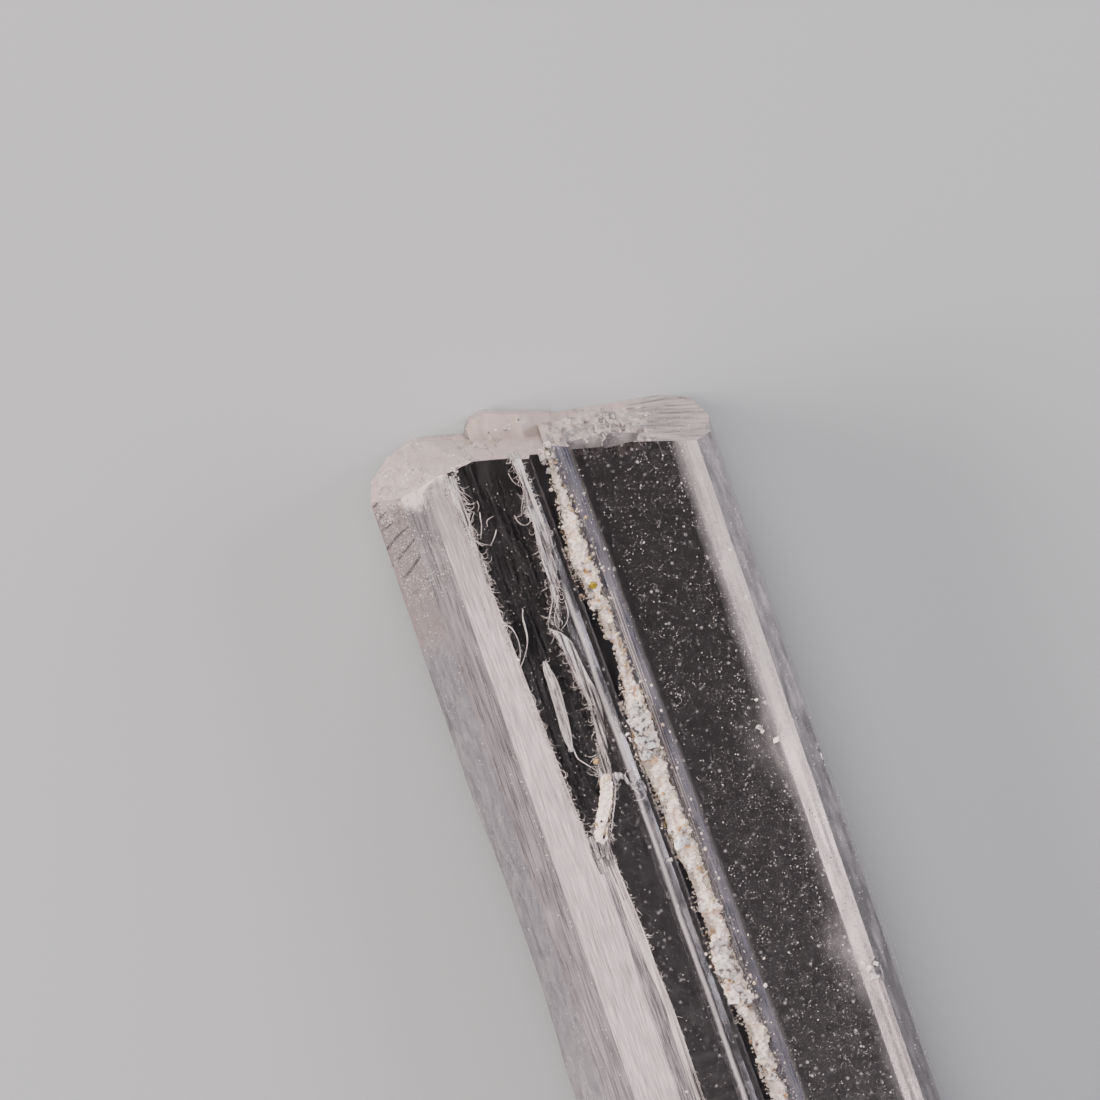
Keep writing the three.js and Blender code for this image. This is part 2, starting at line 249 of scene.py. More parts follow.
def groove_rim(tree, place, x, sway):
    """The haze along the groove's right rim."""
    across = add(tree, "VectorMath", (place, (1, GROOVE_YAW, 0)), "Value", operation="DOT_PRODUCT")
    across = add(tree, "Math", (sway, 0.4, across), operation="MULTIPLY_ADD")
    rim = add(tree, "MapRange", (across, GROOVE_RIGHT - 0.05, GROOVE_RIGHT + 0.13, 0.16, 0))
    right = add(tree, "MapRange", (x, 0.2, 0.3, 0, 1))
    return add(tree, "Math", (rim, right), operation="MULTIPLY")


def outer_margin(tree, x, y, clouds):
    """The haze of the right front's outer margin, which is thinner towards the foot."""
    across = add(tree, "Math", (clouds, 0.6, x), operation="MULTIPLY_ADD")
    margin = add(tree, "MapRange", (across, BACK_EDGE - 0.05, BACK_EDGE + 0.6, 0, 0.55))
    foot = add(tree, "MapRange", (y, -2, 9, 0.35, 1))
    return add(tree, "Math", (margin, foot), operation="MULTIPLY")


def veil(tree, place, clouds, middle, strength):
    """The haze of a veil about 2 mm long and half as wide."""
    spread = add(tree, "VectorMath", (place, (1, 0.5, 1)), operation="MULTIPLY")
    centre = (middle[0], middle[1] * 0.5, middle[2])
    away = add(tree, "VectorMath", (spread, centre), "Value", operation="DISTANCE")
    haze = add(tree, "MapRange", (away, 0.1, 0.9, strength, 0))
    cloud = add(tree, "MapRange", (clouds, 0.35, 0.65, 0, 2))
    return add(tree, "Math", (haze, cloud), operation="MULTIPLY")


def mist(tree, place, y):
    """The haze of mist in wisps, thicker towards the foot."""
    wisps = add(tree, "MapRange", (streaks(tree, place, EVENLY, 3.5, 6.0), 0.35, 0.65, 0.4, 1.4))
    haze = add(tree, "MapRange", (y, -6, 8, 0.035, 0.008))
    return add(tree, "Math", (haze, wisps), operation="MULTIPLY")


def smears(tree, place):
    """The haze of faint smears about 0.1 mm across, between the specks of dust."""
    away = add(tree, "TexVoronoi", {"Vector": place, "Scale": 5.0}, "Distance")
    spot = add(tree, "MapRange", (away, 0.1, 0.32, 0.6, 0))
    which = add(tree, "Math", (away.node.outputs["Color"], 4), operation="POWER")
    return add(tree, "Math", (spot, which), operation="MULTIPLY")


def clear_front(name):
    """The front faces: glassy, with a frosted growth line, hazy margins, thin veils, mist and smears."""
    material, tree, place = material_tree(name)
    x = add(tree, "VectorMath", (place, (1, 0, 0)), "Value", operation="DOT_PRODUCT")
    y = add(tree, "VectorMath", (place, (0, 1, 0)), "Value", operation="DOT_PRODUCT")
    clouds = streaks(tree, place, (1, 0.5, 1), 1.1, 5.0)
    sway = add(tree, "Math", (clouds, 0.2, -0.1), operation="MULTIPLY_ADD")
    hazy = growth_line(tree, place, y, sway)
    for haze in (groove_rim(tree, place, x, sway), outer_margin(tree, x, y, clouds)):
        hazy = add(tree, "Math", (hazy, haze), operation="MAXIMUM")
    lines = add(tree, "MapRange", (streaks(tree, place, ALONG, 12.0), 0.35, 0.65, 0.75, 1.15))
    hazy = add(tree, "Math", (hazy, lines), operation="MULTIPLY")
    patches = [veil(tree, place, clouds, middle, strength) for middle, strength in VEILS]
    for haze in (*patches, mist(tree, place, y), smears(tree, place)):
        hazy = add(tree, "Math", (hazy, haze), operation="ADD")
    glass, frost = linear("d8d5d6"), linear("fbeded")
    shaded(
        tree,
        {
            "Base Color": add(tree, "Mix", {0: hazy, 6: glass, 7: frost}, 2, data_type="RGBA"),
            "Roughness": add(tree, "MapRange", (hazy, 0, 1, 0.03, 0.35)),
            "Transmission Weight": add(tree, "MapRange", (hazy, 0, 1, 0.99, 0.15)),
            "IOR": IOR,
        },
    )
    return material


def mineral(name, colours, roughness, scale, pit, clarity=(0.0, 0.0), ior=1.5):
    """A crumbly mineral: colours in patches of about `scale` mm, pits `pit` mm deep, and clear spots."""
    material, tree, place = material_tree(name)
    patches = streaks(tree, place, EVENLY, 1 / scale)
    colour = add(tree, "ValToRGB", {"Fac": patches})
    stops = colour.node.color_ramp.elements
    while len(stops) < len(colours):
        stops.new(0.5)
    for stop, (spot, tint) in zip(stops, colours):
        stop.position = spot
        stop.color = linear(tint)
    # Pits about 0.05 mm across.
    pits = streaks(tree, place, EVENLY, 16.0)
    shaded(
        tree,
        {
            "Base Color": colour,
            "Roughness": roughness,
            "Normal": add(tree, "Bump", {"Strength": 1.0, "Distance": pit * MM, "Height": pits}),
            "IOR": ior,
            "Transmission Weight": add(tree, "MapRange", (patches, 0.4, 0.5, clarity[1], clarity[0])),
        },
    )
    return material


LEFT_RIM = (-0.455, 1, 0.3)  # across the end face that closes the left half
FINISHES = {
    # The back, the pocket in it and the groove's floor: glassy, with next to no haze.
    "clear": nifontovite("smooth growth face", ("d8d5d6", "dedbdc"), (1.0, 0.97), (0.02, 0.06), 0.0006),
    # The front: clear enough to see down into, with haze only in lines, margins and veils.
    "front": clear_front("smooth front face"),
    # The left front slope: dense lines along the length that scatter light to a pinkish white.
    "striated": nifontovite(
        "striated growth face",
        ("b3a7ab", "efe1e4"),
        (0.5, 0.2),
        (0.3, 0.42),
        0.005,
        fine=26.0,
        contrast=(0.34, 0.62),
        fade=((0, 1, 0), 8.5, 12.5, -0.5),
        frost=(LEFT_RIM, 16.75, 16.95),
    ),
    # The slope to its left: fewer lines, which make it greyer and streakier.
    "faint": nifontovite(
        "faintly striated growth face",
        ("857e84", "cfc5c9"),
        (0.62, 0.42),
        (0.25, 0.4),
        0.005,
        fine=18.0,
        contrast=(0.38, 0.7),
        fade=((0, 1, 0), 4.0, -4.0, 0.2),
        frost=(LEFT_RIM, 16.35, 16.85),
    ),
    # The left side: etched dull, and cloudier towards the foot.
    "etched": nifontovite(
        "etched side face",
        ("a19a9e", "cdc5c8"),
        (0.9, 0.6),
        (0.08, 0.3),
        0.004,
        run=(1, 0.5, 1),
        fine=4.0,
        contrast=(0.3, 0.74),
        fade=((0, 1, 0), -1.0, -6.0, 0.5),
        frost=(LEFT_RIM, 16.3, 16.8),
        # Dark lines of painted shade where etched steps cross the face.
        steps=((-0.57, 0.82, 0), 8.8, 11.6),
    ),
    # The right side: misty, in soft clouds.
    "misty": nifontovite(
        "misty side face",
        ("b9b5bb", "d2ced4"),
        (0.95, 0.76),
        (0.06, 0.28),
        0.003,
        run=(1, 0.4, 1),
        fine=2.5,
        contrast=(0.25, 0.78),
    ),
    # The bevel under the right side, which shows through the front as a pale band: dimmer towards the foot.
    "undercut": nifontovite(
        "hazy undercut face",
        ("625c60", "d6cacd"),
        (0.78, 0.35),
        (0.15, 0.35),
        0.004,
        run=(1, 0.3, 1),
        fine=3.0,
        contrast=(0.2, 0.6),
        fade=((0, 1, 0), 8.0, 0.0, -0.6),
    ),
    # The bevel between the right side and the front: brighter, and dimmer towards the foot.
    "bevel": nifontovite(
        "hazy bevel face",
        ("aaa4a8", "e6dadd"),
        (0.85, 0.4),
        (0.15, 0.35),
        0.004,
        run=(1, 0.4, 1),
        fine=2.5,
        contrast=(0.3, 0.72),
        fade=((0, 1, 0), 6.0, -2.0, -0.4),
    ),
    # The band beside the torn seam: clear crystal combed into threads.
    "combed": nifontovite(
        "combed crystal",
        ("8f888c", "cdc5ca"),
        (0.7, 0.4),
        (0.15, 0.35),
        0.008,
        fine=26.0,
        contrast=(0.36, 0.64),
    ),
    # The termination: satin, like ground glass, with hair cracks.
    "end": nifontovite(
        "frosted end face",
        ("d2bdb7", "ecd8d1"),
        (0.45, 0.25),
        (0.3, 0.45),
        0.002,
        run=DOWN,
        fine=6.0,
        contrast=(0.25, 0.75),
        cracks=0.5,
    ),
    # The end of the back crystal: satin too, without the cracks.
    "sliver": nifontovite(
        "satin end face",
        ("c6b5b0", "decdc7"),
        (0.45, 0.35),
        (0.3, 0.4),
        0.002,
        run=DOWN,
        fine=5.0,
        contrast=(0.3, 0.7),
    ),
    # The termination's right part: growth lines that run across, over clearer crystal.
    "lined": nifontovite(
        "lined end face", ("9a8f8d", "e4d5d0"), (0.7, 0.35), (0.2, 0.4), 0.005, ACROSS, 24.0, (0.36, 0.64)
    ),
    # Where the termination broke in thin steps: satin treads, with glassy and cracked risers.
    "stepped": nifontovite(
        "stepped break",
        ("97867f", "ecd7cf"),
        (0.7, 0.25),
        (0.15, 0.4),
        0.004,
        run=DOWN,
        fine=6.0,
        contrast=(0.36, 0.58),
        cracks=1.0,
    ),
    # Other broken surfaces: glassy and uneven.
    "broken": nifontovite(
        "broken surface", ("dcd7d9", "f0eaec"), (0.93, 0.62), (0.05, 0.25), 0.005, EVENLY, 3.0, (0.25, 0.75)
    ),
    # The groove's right wall: misty and bluish, and clearer towards its rim.
    "groove": nifontovite(
        "misty groove wall",
        ("5b5e6e", "9a9ca9"),
        (0.6, 0.35),
        (0.25, 0.4),
        0.003,
        fine=14.0,
        contrast=(0.3, 0.7),
        fade=((1, GROOVE_YAW, 0), 0.8, 1.2, -0.5),
    ),
}
# Torn fibres of the crystal: too thin to see into, so they look white with a slight shine.
FIBRE = nifontovite("torn crystal fibre", ("e2d8d5", "faf1ed"), (0.5, 0.2), (0.25, 0.45), 0.002)
# A peeled flake or flap: thin, half clear, with its fibres showing.
FLAKE = nifontovite(
    "peeled crystal flake", ("bbb3b5", "f6f1f2"), (0.97, 0.35), (0.15, 0.35), 0.012, fine=18.0
)
# White mineral powder, packed loosely: no shine.
CHALK = mineral("chalky crust", [(0.31, "dcbb92"), (0.42, "f8e7db"), (0.58, "fff2ea")], 0.85, 0.3, 0.02)
# Grains set in the crust: pale and glassy, and clear in places.
GRAIN = mineral("clear mineral grain", [(0.3, "f7ebe4"), (0.7, "fffaf6")], 0.2, 0.15, 0.004, (0.05, 0.6))
# Glassy splinters, clear enough to see through.
SHARD = mineral("glassy splinter", [(0.3, "efe6e2"), (0.7, "fffaf8")], 0.08, 0.15, 0.002, (0.35, 0.9), IOR)
# Single grains of other minerals: honey brown and olive, half clear, with a slight shine.
HONEY = mineral("honey mineral grain", [(0.35, "b08a4c"), (0.65, "dcc08a")], 0.35, 0.1, 0.01, (0.1, 0.4))
OLIVE = mineral("olive mineral grain", [(0.35, "7d6c1c"), (0.65, "b09c3c")], 0.3, 0.1, 0.01, (0.1, 0.4))
# The bottoms of the slits in the vein: painted shade, dull and nearly black.
PAINTED_CLEFT_SHADE = mineral("painted cleft shade", [(0.3, "2e2825"), (0.7, "4a403a")], 0.7, 0.05, 0.004)
# A speck of ore: dark brown and dull.
ORE = mineral("dark ore speck", [(0.3, "2a1a12"), (0.7, "4a2e1c")], 0.5, 0.1, 0.004)
# Dust: fine, white and dry, and half clear where a speck is thin.
DUST = mineral("white mineral dust", [(0.3, "d8d3d1"), (0.7, "f8f3f1")], 0.6, 0.3, 0.004, (0.2, 0.8))


# ---- The crystal ---------------------------------------------------------------------------------
def welded_copy(node):
    """A CAD node's skin with its loose triangles joined, ready to work on."""
    bm = bmesh.new()
    bm.from_mesh(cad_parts[node].data)
    bmesh.ops.remove_doubles(bm, verts=bm.verts, dist=0.0004 * MM)
    return bm


def finished_mesh(bm, name):
    """A mesh from finished work."""
    mesh = bpy.data.meshes.new(name)
    bm.to_mesh(mesh)
    bm.free()
    return mesh


TEAR_X, TEAR_FOOT, TEAR_TIP = -3.45, 0.3, 5.6  # mm, the torn line between the two striated slopes
# How far a long facet with each of these finishes leans up from +X, in degrees.
LEANS = {
    "undercut": (-50, -25),
    "bevel": (12, 32),
    "combed": (96, 112),
    "striated": (112, 127),
    "faint": (127, 140),
}


def finish_of(face):
    """Which finish a facet of the crystal has, from the way it faces and where it lies."""
    out = face.normal
    x, y, z = face.calc_center_median() / MM
    lean = math.degrees(math.atan2(out.z, out.x))
    if out.y > 0.75:  # the termination
        if z < 2.1 and x < 0.3 and y > 14.35 - 0.248 * x:  # past the line where the back crystal ends
            return "sliver"
        if x > 3.1 + 0.3 * math.sin(5 * z):  # right of an uneven line down it
            return "lined"
        return "stepped" if x > 0.4 and z > 1.5 else "end"
    if y > 13.8 and z < 2.6 and out.z > 0.5:
        return "sliver"
    if abs(out.y) > 0.08:  # growth faces run along the crystal, so this one doesn't
        return "broken"
    if out.z < -0.9 or (z < 1.0 and abs(x) < 1.5):  # the back, and the pocket in it
        return "clear"
    if -0.6 < x < 1.35 and z > 6.0 and (out.z < 0.97 or z < 6.3):  # inside the groove
        return "groove" if out.x < -0.3 else "clear"
    if out.z > 0.98:
        return "front" if z > 6.85 else "clear"
    for name, (low, high) in LEANS.items():
        if low < lean < high:
            return name
    return "etched" if x < 0 else "misty"


# How each finish is worked: spacing in mm of the lines cut along the crystal, across it and by height, and
# the depth in mm of its relief. A spacing of 0 makes no cuts.
RELIEF = {
    "striated": (0.07, 0.6, 0.16, 0.012),
    "faint": (0.08, 0.6, 0.16, 0.014),
    "etched": (0.16, 0.5, 0.2, 0.018),
    "misty": (0.16, 0.5, 0.2, 0.018),
    "undercut": (0.16, 0.5, 0.2, 0.012),
    "bevel": (0.16, 0.5, 0.2, 0.012),
    "combed": (0.06, 0.6, 0, 0.015),
    "end": (0.12, 0, 0.12, 0.02),
    "lined": (0.12, 0, 0.09, 0.04),
    "stepped": (0.09, 0, 0.09, 0.045),
    "broken": (0.2, 0, 0.2, 0.05),
    "groove": (0.1, 0.3, 0.2, 0.015),
}


def faces_of(bm, finish):
    """The facets that have one finish."""
    number = list(FINISHES).index(finish)
    return [face for face in bm.faces if face.material_index == number]


def cut(bm, finish, where, across):
    """Cut the facets of one finish across, this many mm along `across`."""
    near = []
    for face in faces_of(bm, finish):
        reach = [vert.co.dot(across) for vert in face.verts]
        if min(reach) < where * MM < max(reach):
            near.append(face)
    if near:
        geom = list({item for face in near for item in (face, *face.edges, *face.verts)})
        point = across * where * MM
        bmesh.ops.bisect_plane(bm, geom=geom, dist=0.002 * MM, plane_co=point, plane_no=across)


def spaced(start, stop, step, seed):
    """Unevenly spaced numbers from start to stop."""
    dice = random.Random(seed)
    where = start
    while step and where < stop:
        yield where
        where += step * dice.uniform(0.5, 1.5)


def relief_at(place, finishes):
    """How deep the relief goes at a place in mm, from 0 to about 1: streaks, terraces or lumps."""
    x, y, z = place
    if "stepped" in finishes and "end" not in finishes:
        # Steps that climb the face, each a sawtooth, jagged from side to side. They die out under the rim.
        climb = 0.5 * z + 0.6 * x + 1.6 * noise.noise(Vector((x * 0.9, 0, z * 0.4)))
        climb += 0.25 * noise.noise(Vector((x * 5, 0, z)))
        steps = 0.9 * (1 - climb % 1) + 0.3 * abs(noise.noise(Vector((x * 3, 3, z * 1.2))))
        return steps * min(1, max(0.15, (6.3 - z) / 0.6))
    if "lined" in finishes:
        return 0.5 + 0.8 * noise.noise(Vector((x * 0.4, 0, z * 5)))
    along = 0.12 if finishes & {"striated", "faint"} else 0.5
    fine = noise.noise(Vector((x * 9, y * along, z * 9)))
    broad = noise.noise(Vector((x * 2.3, y * 0.6, z * 2.3)))
    torn = 0.0
    if finishes & {"striated", "faint"} and abs(x - TEAR_X) < 0.06 and TEAR_FOOT < y < TEAR_TIP:
        torn = 2.5 * abs(noise.noise(Vector((x * 30, y * 1.2, 5))))
    return 0.55 + 0.75 * fine + 0.38 * broad + torn


def roughen(bm):
    """Give the cut facets their relief. A point only moves inwards, and slides along a clear face by it."""
    names = list(FINISHES)
    moves = {}
    for vert in bm.verts:
        finishes = {names[face.material_index] for face in vert.link_faces}
        worked = [RELIEF[name][3] for name in finishes if name in RELIEF]
        if not worked:
            continue
        depth = relief_at(vert.co / MM, finishes) * min(worked) * MM
        shift = vert.normal * -max(depth, 0)
        for face in vert.link_faces:
            if names[face.material_index] in ("clear", "front"):
                shift -= face.normal * shift.dot(face.normal)
        moves[vert] = shift
    for vert, shift in moves.items():
        vert.co += shift


# The axes that facets are cut across, with the crystal's extent along each in mm, and a seed.
EXTENTS = [((1, 0, 0), -5, 5, 0), ((0, 1, 0), -15, 15, 10), ((0, 0, 1), 0, 7, 20)]


def worked_crystal():
    """The crystal with its facets sorted by finish, cut up and given relief."""
    bm = welded_copy("crystal")
    bmesh.ops.dissolve_limit(bm, angle_limit=math.radians(0.4), verts=bm.verts, edges=bm.edges)
    bm.normal_update()
    names = list(FINISHES)
    for face in bm.faces:
        face.material_index = names.index(finish_of(face))
    for number, (finish, (*steps, _)) in enumerate(RELIEF.items()):
        for (axis, start, stop, seed), step in zip(EXTENTS, steps):
            for where in spaced(start, stop, step, number + seed):
                cut(bm, finish, where, Vector(axis))
    for face in bm.faces:
        face.material_index = names.index(finish_of(face))
    roughen(bm)
    bm.normal_update()
    return bm


skin = worked_crystal()
CRYSTAL_TOP = BVHTree.FromBMesh(skin)
piece("clear_crystal", finished_mesh(skin, "clear_crystal"), FINISHES.values(), "crystal")


OVERHEAD = 20  # mm, higher than everything


def ground(x, y, tree=CRYSTAL_TOP):
    """The height in mm of a surface at a place in mm, looking straight down, or None if there is none."""
    hit = tree.ray_cast(Vector((x, y, OVERHEAD)) * MM, Vector((0, 0, -1)))[0]
    return None if hit is None else hit.z / MM


# ---- Small shapes --------------------------------------------------------------------------------
def smooth_line(points, count):
    """This many points on a smooth curve through the given ones, shared out evenly between them."""
    nodes = [Vector(point) for point in (points[0], *points, points[-1])]
    made = []
    for i in range(count):
        along = i / (count - 1) * (len(points) - 1)
        start = min(int(along), len(points) - 2)
        t = along - start
        a, b, c, d = nodes[start : start + 4]
        bend = (2 * a - 5 * b + 4 * c - d) * t * t + (3 * b - a - 3 * c + d) * t**3
        made.append(0.5 * (2 * b + (c - a) * t + bend))
    return made


BESIDE = 6.2  # mm, the height given to a thread where it reaches out past the crystal


def laid(points, lift=0.0, arch=0.0):
    """Lay a line of (x, y) points on the crystal, lifted by `lift`, and by `arch` more in its middle."""
    heights = [ground(x, y) or BESIDE for x, y in points]
    made = []
    for i, (x, y) in enumerate(points):
        near = heights[max(i - 1, 0) : i + 2]
        rise = math.sin(math.pi * i / (len(points) - 1))
        made.append((x, y, max(heights[i], sum(near) / len(near)) + lift + arch * rise))
    return made


def fibres(name, lines, material, taper=0.25, steps=3):
    """Threads through lines of (x, y, z) points in mm, each with its thickness in mm, joined in one mesh."""
    curve = bpy.data.curves.new(name, "CURVE")
    curve.dimensions = "3D"
    curve.bevel_depth = 0.5  # so that the radius of a knot is the thickness there
    curve.bevel_resolution = 1
    curve.use_fill_caps = True
    curve.resolution_u = steps
    for thickness, points in lines:
        spline = curve.splines.new("NURBS")
        last = len(points) - 1
        spline.points.add(last)
        for i, (knot, point) in enumerate(zip(spline.points, points)):
            knot.co = (*point, 1)
            knot.radius = thickness * (1 - (1 - taper) * (i / last) ** 2)
        spline.order_u = min(4, len(points))
        spline.use_endpoint_u = True
    shape = bpy.data.objects.new(name, curve)
    mesh = bpy.data.meshes.new_from_object(shape)
    bpy.data.objects.remove(shape)
    mesh.name = name
    mesh.transform(Matrix.Scale(MM, 4))
    piece(name, mesh, [material])


def flap(bm, left, right, lift, thickness, curl, seed):
    """A thin torn sheet between two edge lines of (x, y) points, lifted in its middle by `curl`, in mm."""
    rows, columns = 28, 5
    edges = smooth_line(left, rows), smooth_line(right, rows)
    sheet = bmesh.ops.create_grid(bm, x_segments=columns - 1, y_segments=rows - 1, size=1)["verts"]
    for vert in sheet:
        across = (vert.co.x + 1) / 2
        row = round((vert.co.y + 1) / 2 * (rows - 1))
        x, y = edges[0][row].lerp(edges[1][row], across)
        height = ground(x, y) or BESIDE
        ripple = 0.02 * noise.noise(Vector((x * 9, y * 4, seed)))
        vert.co = (x, y, height + lift + curl * math.sin(math.pi * across) + ripple)
    faces = list({face for vert in sheet for face in vert.link_faces})
    bmesh.ops.recalc_face_normals(bm, faces=faces)
    bmesh.ops.solidify(bm, geom=faces, thickness=thickness)


def flaps(name, sheets, material):
    """Thin torn sheets, joined in one mesh."""
    bm = bmesh.new()
    for sheet in sheets:
        flap(bm, *sheet)
    bmesh.ops.remove_doubles(bm, verts=bm.verts, dist=0.0005)
    bmesh.ops.recalc_face_normals(bm, faces=bm.faces)
    bmesh.ops.scale(bm, vec=(MM, MM, MM), verts=bm.verts)
    piece(name, finished_mesh(bm, name), [material])


def shape_of(bm):
    """The corners and faces of finished work."""
    shape = [vert.co.copy() for vert in bm.verts], [[vert.index for vert in face.verts] for face in bm.faces]
    bm.free()
    return shape


def lump_shape(seed):
    """An irregular crumb that reaches about 1 each way from its middle."""
    bm = bmesh.new()
    bmesh.ops.create_icosphere(bm, subdivisions=1, radius=1)
    for vert in bm.verts:
        vert.co *= 1 + 0.35 * noise.noise(vert.co * 1.7 + Vector((seed * 5.1, 0, 0)))
    return shape_of(bm)


def block_shape(seed):
    """A small crystal with flat faces: a box with its corners cut away."""
    dice = random.Random(seed)
    bm = bmesh.new()
    bmesh.ops.create_cube(bm, size=1.7)
    for _ in range(5):
        out = Vector([dice.choice((-1, 1)) * dice.uniform(0.4, 1) for _ in range(3)]).normalized()
        point = out * dice.uniform(0.75, 1.0)
        geom = [*bm.verts, *bm.edges, *bm.faces]
        bmesh.ops.bisect_plane(bm, geom=geom, plane_co=point, plane_no=out, clear_outer=True)
        rim = [edge for edge in bm.edges if edge.is_boundary]
        bmesh.ops.holes_fill(bm, edges=rim)
    bmesh.ops.recalc_face_normals(bm, faces=bm.faces)
    return shape_of(bm)


def speck_shape():
    """The plainest speck, with eight faces."""
    bm = bmesh.new()
    for axis in range(3):
        for side in (-1, 1):
            bm.verts.new([side * (axis == i) for i in range(3)])
    bmesh.ops.convex_hull(bm, input=bm.verts)
    bmesh.ops.recalc_face_normals(bm, faces=bm.faces)
    bm.verts.index_update()
    return shape_of(bm)


def scatter(name, shapes, spots, material):
    """Many small copies in one mesh. A spot is a place, half sizes and a turn, in mm and radians."""
    corners, faces = [], []
    for number, (place, half, turn) in enumerate(spots):
        points, sides = shapes[number % len(shapes)]
        start = len(corners)
        tilt = Matrix.Rotation(turn[1], 3, "Y") @ Matrix.Rotation(turn[0], 3, "X")
        spin = Matrix.Rotation(turn[2], 3, "Z") @ tilt
        for point in points:
            sized = Vector([p * h for p, h in zip(point, half)])
            corners.append((spin @ sized + Vector(place)) * MM)
        faces += [[start + corner for corner in side] for side in sides]
    mesh = bpy.data.meshes.new(name)
    mesh.from_pydata(corners, [], faces)
    piece(name, mesh, [material])


CRUMBS = [lump_shape(seed) for seed in range(12)]
BLOCKS = [block_shape(seed) for seed in range(9)]
SPECKS = [speck_shape()]


# ---- Crust and vein ------------------------------------------------------------------------------
def split_long(bm, longest):
    """Split edges until none is much longer than this many mm."""
    for _ in range(4):
        edges = [edge for edge in bm.edges if edge.calc_length() > longest * MM]
        if edges:
            bmesh.ops.subdivide_edges(bm, edges=edges, cuts=1, use_grid_fill=True)
            bmesh.ops.triangulate(bm, faces=bm.faces)
    bm.normal_update()


def near_line(x, y, line, width):
    """Whether a place is within `width` mm of a line of points."""
    return any((x - point.x) ** 2 + (y - point.y) ** 2 < width * width for point in line)


FOOT, TIP = -14.6, 13.6  # mm, the stretch of the crystal that carries crust and dust
CRUST_MIDDLE, CRUST_HALF = 0.2, 0.31  # mm across the groove: the middle of the solid crust and half its width
CRUST_RIGHT = 0.62  # mm across the groove: where the crust ends on the right
# Places along the groove, and where the crust's left edge lies across it there, in mm.
CRUST_EDGE = [
    (13.4, 0.38), (12, 0.36), (11, 0.18), (10.2, 0.05), (9.5, 0.12), (8.7, 0.22), (8, 0.33),
    (7.2, 0.42), (6.5, 0.28), (5.7, 0.03), (5, -0.05), (4.2, 0.0), (3.5, 0.02), (2.7, 0.08), (2, 0.02),
    (1.2, 0.06), (0.5, 0.26), (-0.3, 0.03), (-1, 0.2), (-1.8, -0.07), (-2.5, 0.06), (-3.2, 0.1),
    (-4, 0.25), (-5, 0.2), (-6.5, 0.22), (-8, 0.05), (-9.5, 0.2), (-11, 0.0), (-12.5, 0.2),
    (-14.6, 0.1),
]


def crust_edge(y):
    """Where the crust's left edge lies across the groove at a y, in mm."""
    for (top, at_top), (foot, at_foot) in zip(CRUST_EDGE, CRUST_EDGE[1:]):
        if y > foot:
            return at_foot + (at_top - at_foot) * min(1, (y - foot) / (top - foot))
    return CRUST_EDGE[-1][1]


def narrowed(bm):
    """Draw the crust in from the left to its uneven edge, and lower it where it is thin."""
    for vert in bm.verts:
        x, y, z = vert.co / MM
        drift = GROOVE_YAW * y
        part = (x + drift - CRUST_MIDDLE) / CRUST_HALF
        left = crust_edge(y)
        half = (CRUST_RIGHT - left) / 2
        height = 6.0 + (z - 6.0) * min(1, 0.35 + half / CRUST_HALF * 0.65)
        vert.co = Vector((left + half + half * part - drift, y, height)) * MM
    bm.normal_update()


def crumbled(node, name, depth, longest, slits=()):
    """A CAD filling with its surface crumbled: lumps, then grit, by `depth` mm, and slits pressed in, their
    bottoms in painted shade.
    """
    bm = welded_copy(node)
    split_long(bm, longest)
    if node == "groove_crust":
        narrowed(bm)
    lines = [smooth_line(points, 60) for points in slits]
    shifts, shade_painted_faces = {}, set()
    for vert in bm.verts:
        x, y, z = vert.co / MM
        lumps = noise.noise(Vector((x * 3.2, y * 3.2, z * 3.2)))
        grit = noise.noise(Vector((x * 11, y * 11, z * 11)))
        hollow = max(0, noise.noise(Vector((x * 4.5, y * 2.5, 8))) - 0.12)
        shifts[vert] = vert.normal * (depth * (lumps + 1.2 * grit - 5 * hollow - 0.1) * MM)
        if vert.normal.z > 0.3 and any(near_line(x, y, line, 0.03) for line in lines):
            shifts[vert].z -= 0.12 * MM
            shade_painted_faces.update(vert.link_faces)
    for vert, shift in shifts.items():
        vert.co += shift
    # The faces at the slits' bottoms take the cleft material: painted shade.
    for face in shade_painted_faces:
        face.material_index = 1
    bm.normal_update()
    tree = BVHTree.FromBMesh(bm)
    piece(name, finished_mesh(bm, name), [CHALK, PAINTED_CLEFT_SHADE] if slits else [CHALK], node)
    return tree


def crust_middle(y):
    """The crust's middle line: x in mm at a y."""
    return (crust_edge(y) + CRUST_RIGHT) / 2 - GROOVE_YAW * y


# Lines that the slits follow along the vein, their bottoms painted with shade, in mm.
SLITS = [
    [(-1.28, 3.22), (-1.42, 2.98), (-1.6, 2.7), (-1.78, 2.46)],
    [(-1.2, 3.3), (-1.38, 2.9), (-1.62, 2.45)],
]
CRUST_TOP = crumbled("groove_crust", "mineral_crust", 0.1, 0.07)
VEIN_TOP = crumbled("seam_vein", "cream_vein", 0.045, 0.03, SLITS)


HIGHEST = 7.22  # mm, the most that a grain's top may reach


def seat(spots, dice, x, y, size, tree, sink=0.3, squash=0.7):
    """Rest a grain on a surface at (x, y), sunk in by a part of its size, if there is a surface there."""
    height = ground(x, y, tree)
    if height is None:
        return
    half = [size * dice.uniform(0.7, 1.25), size * dice.uniform(0.7, 1.25)]
    half.append(size * squash * dice.uniform(0.7, 1.2))
    turn = [dice.uniform(-0.5, 0.5), dice.uniform(-0.5, 0.5), dice.uniform(0, 6.28)]
    middle = min(height + half[2] * (1 - 2 * sink), HIGHEST - half[2])
    spots.append(((x, y, middle), half, turn))


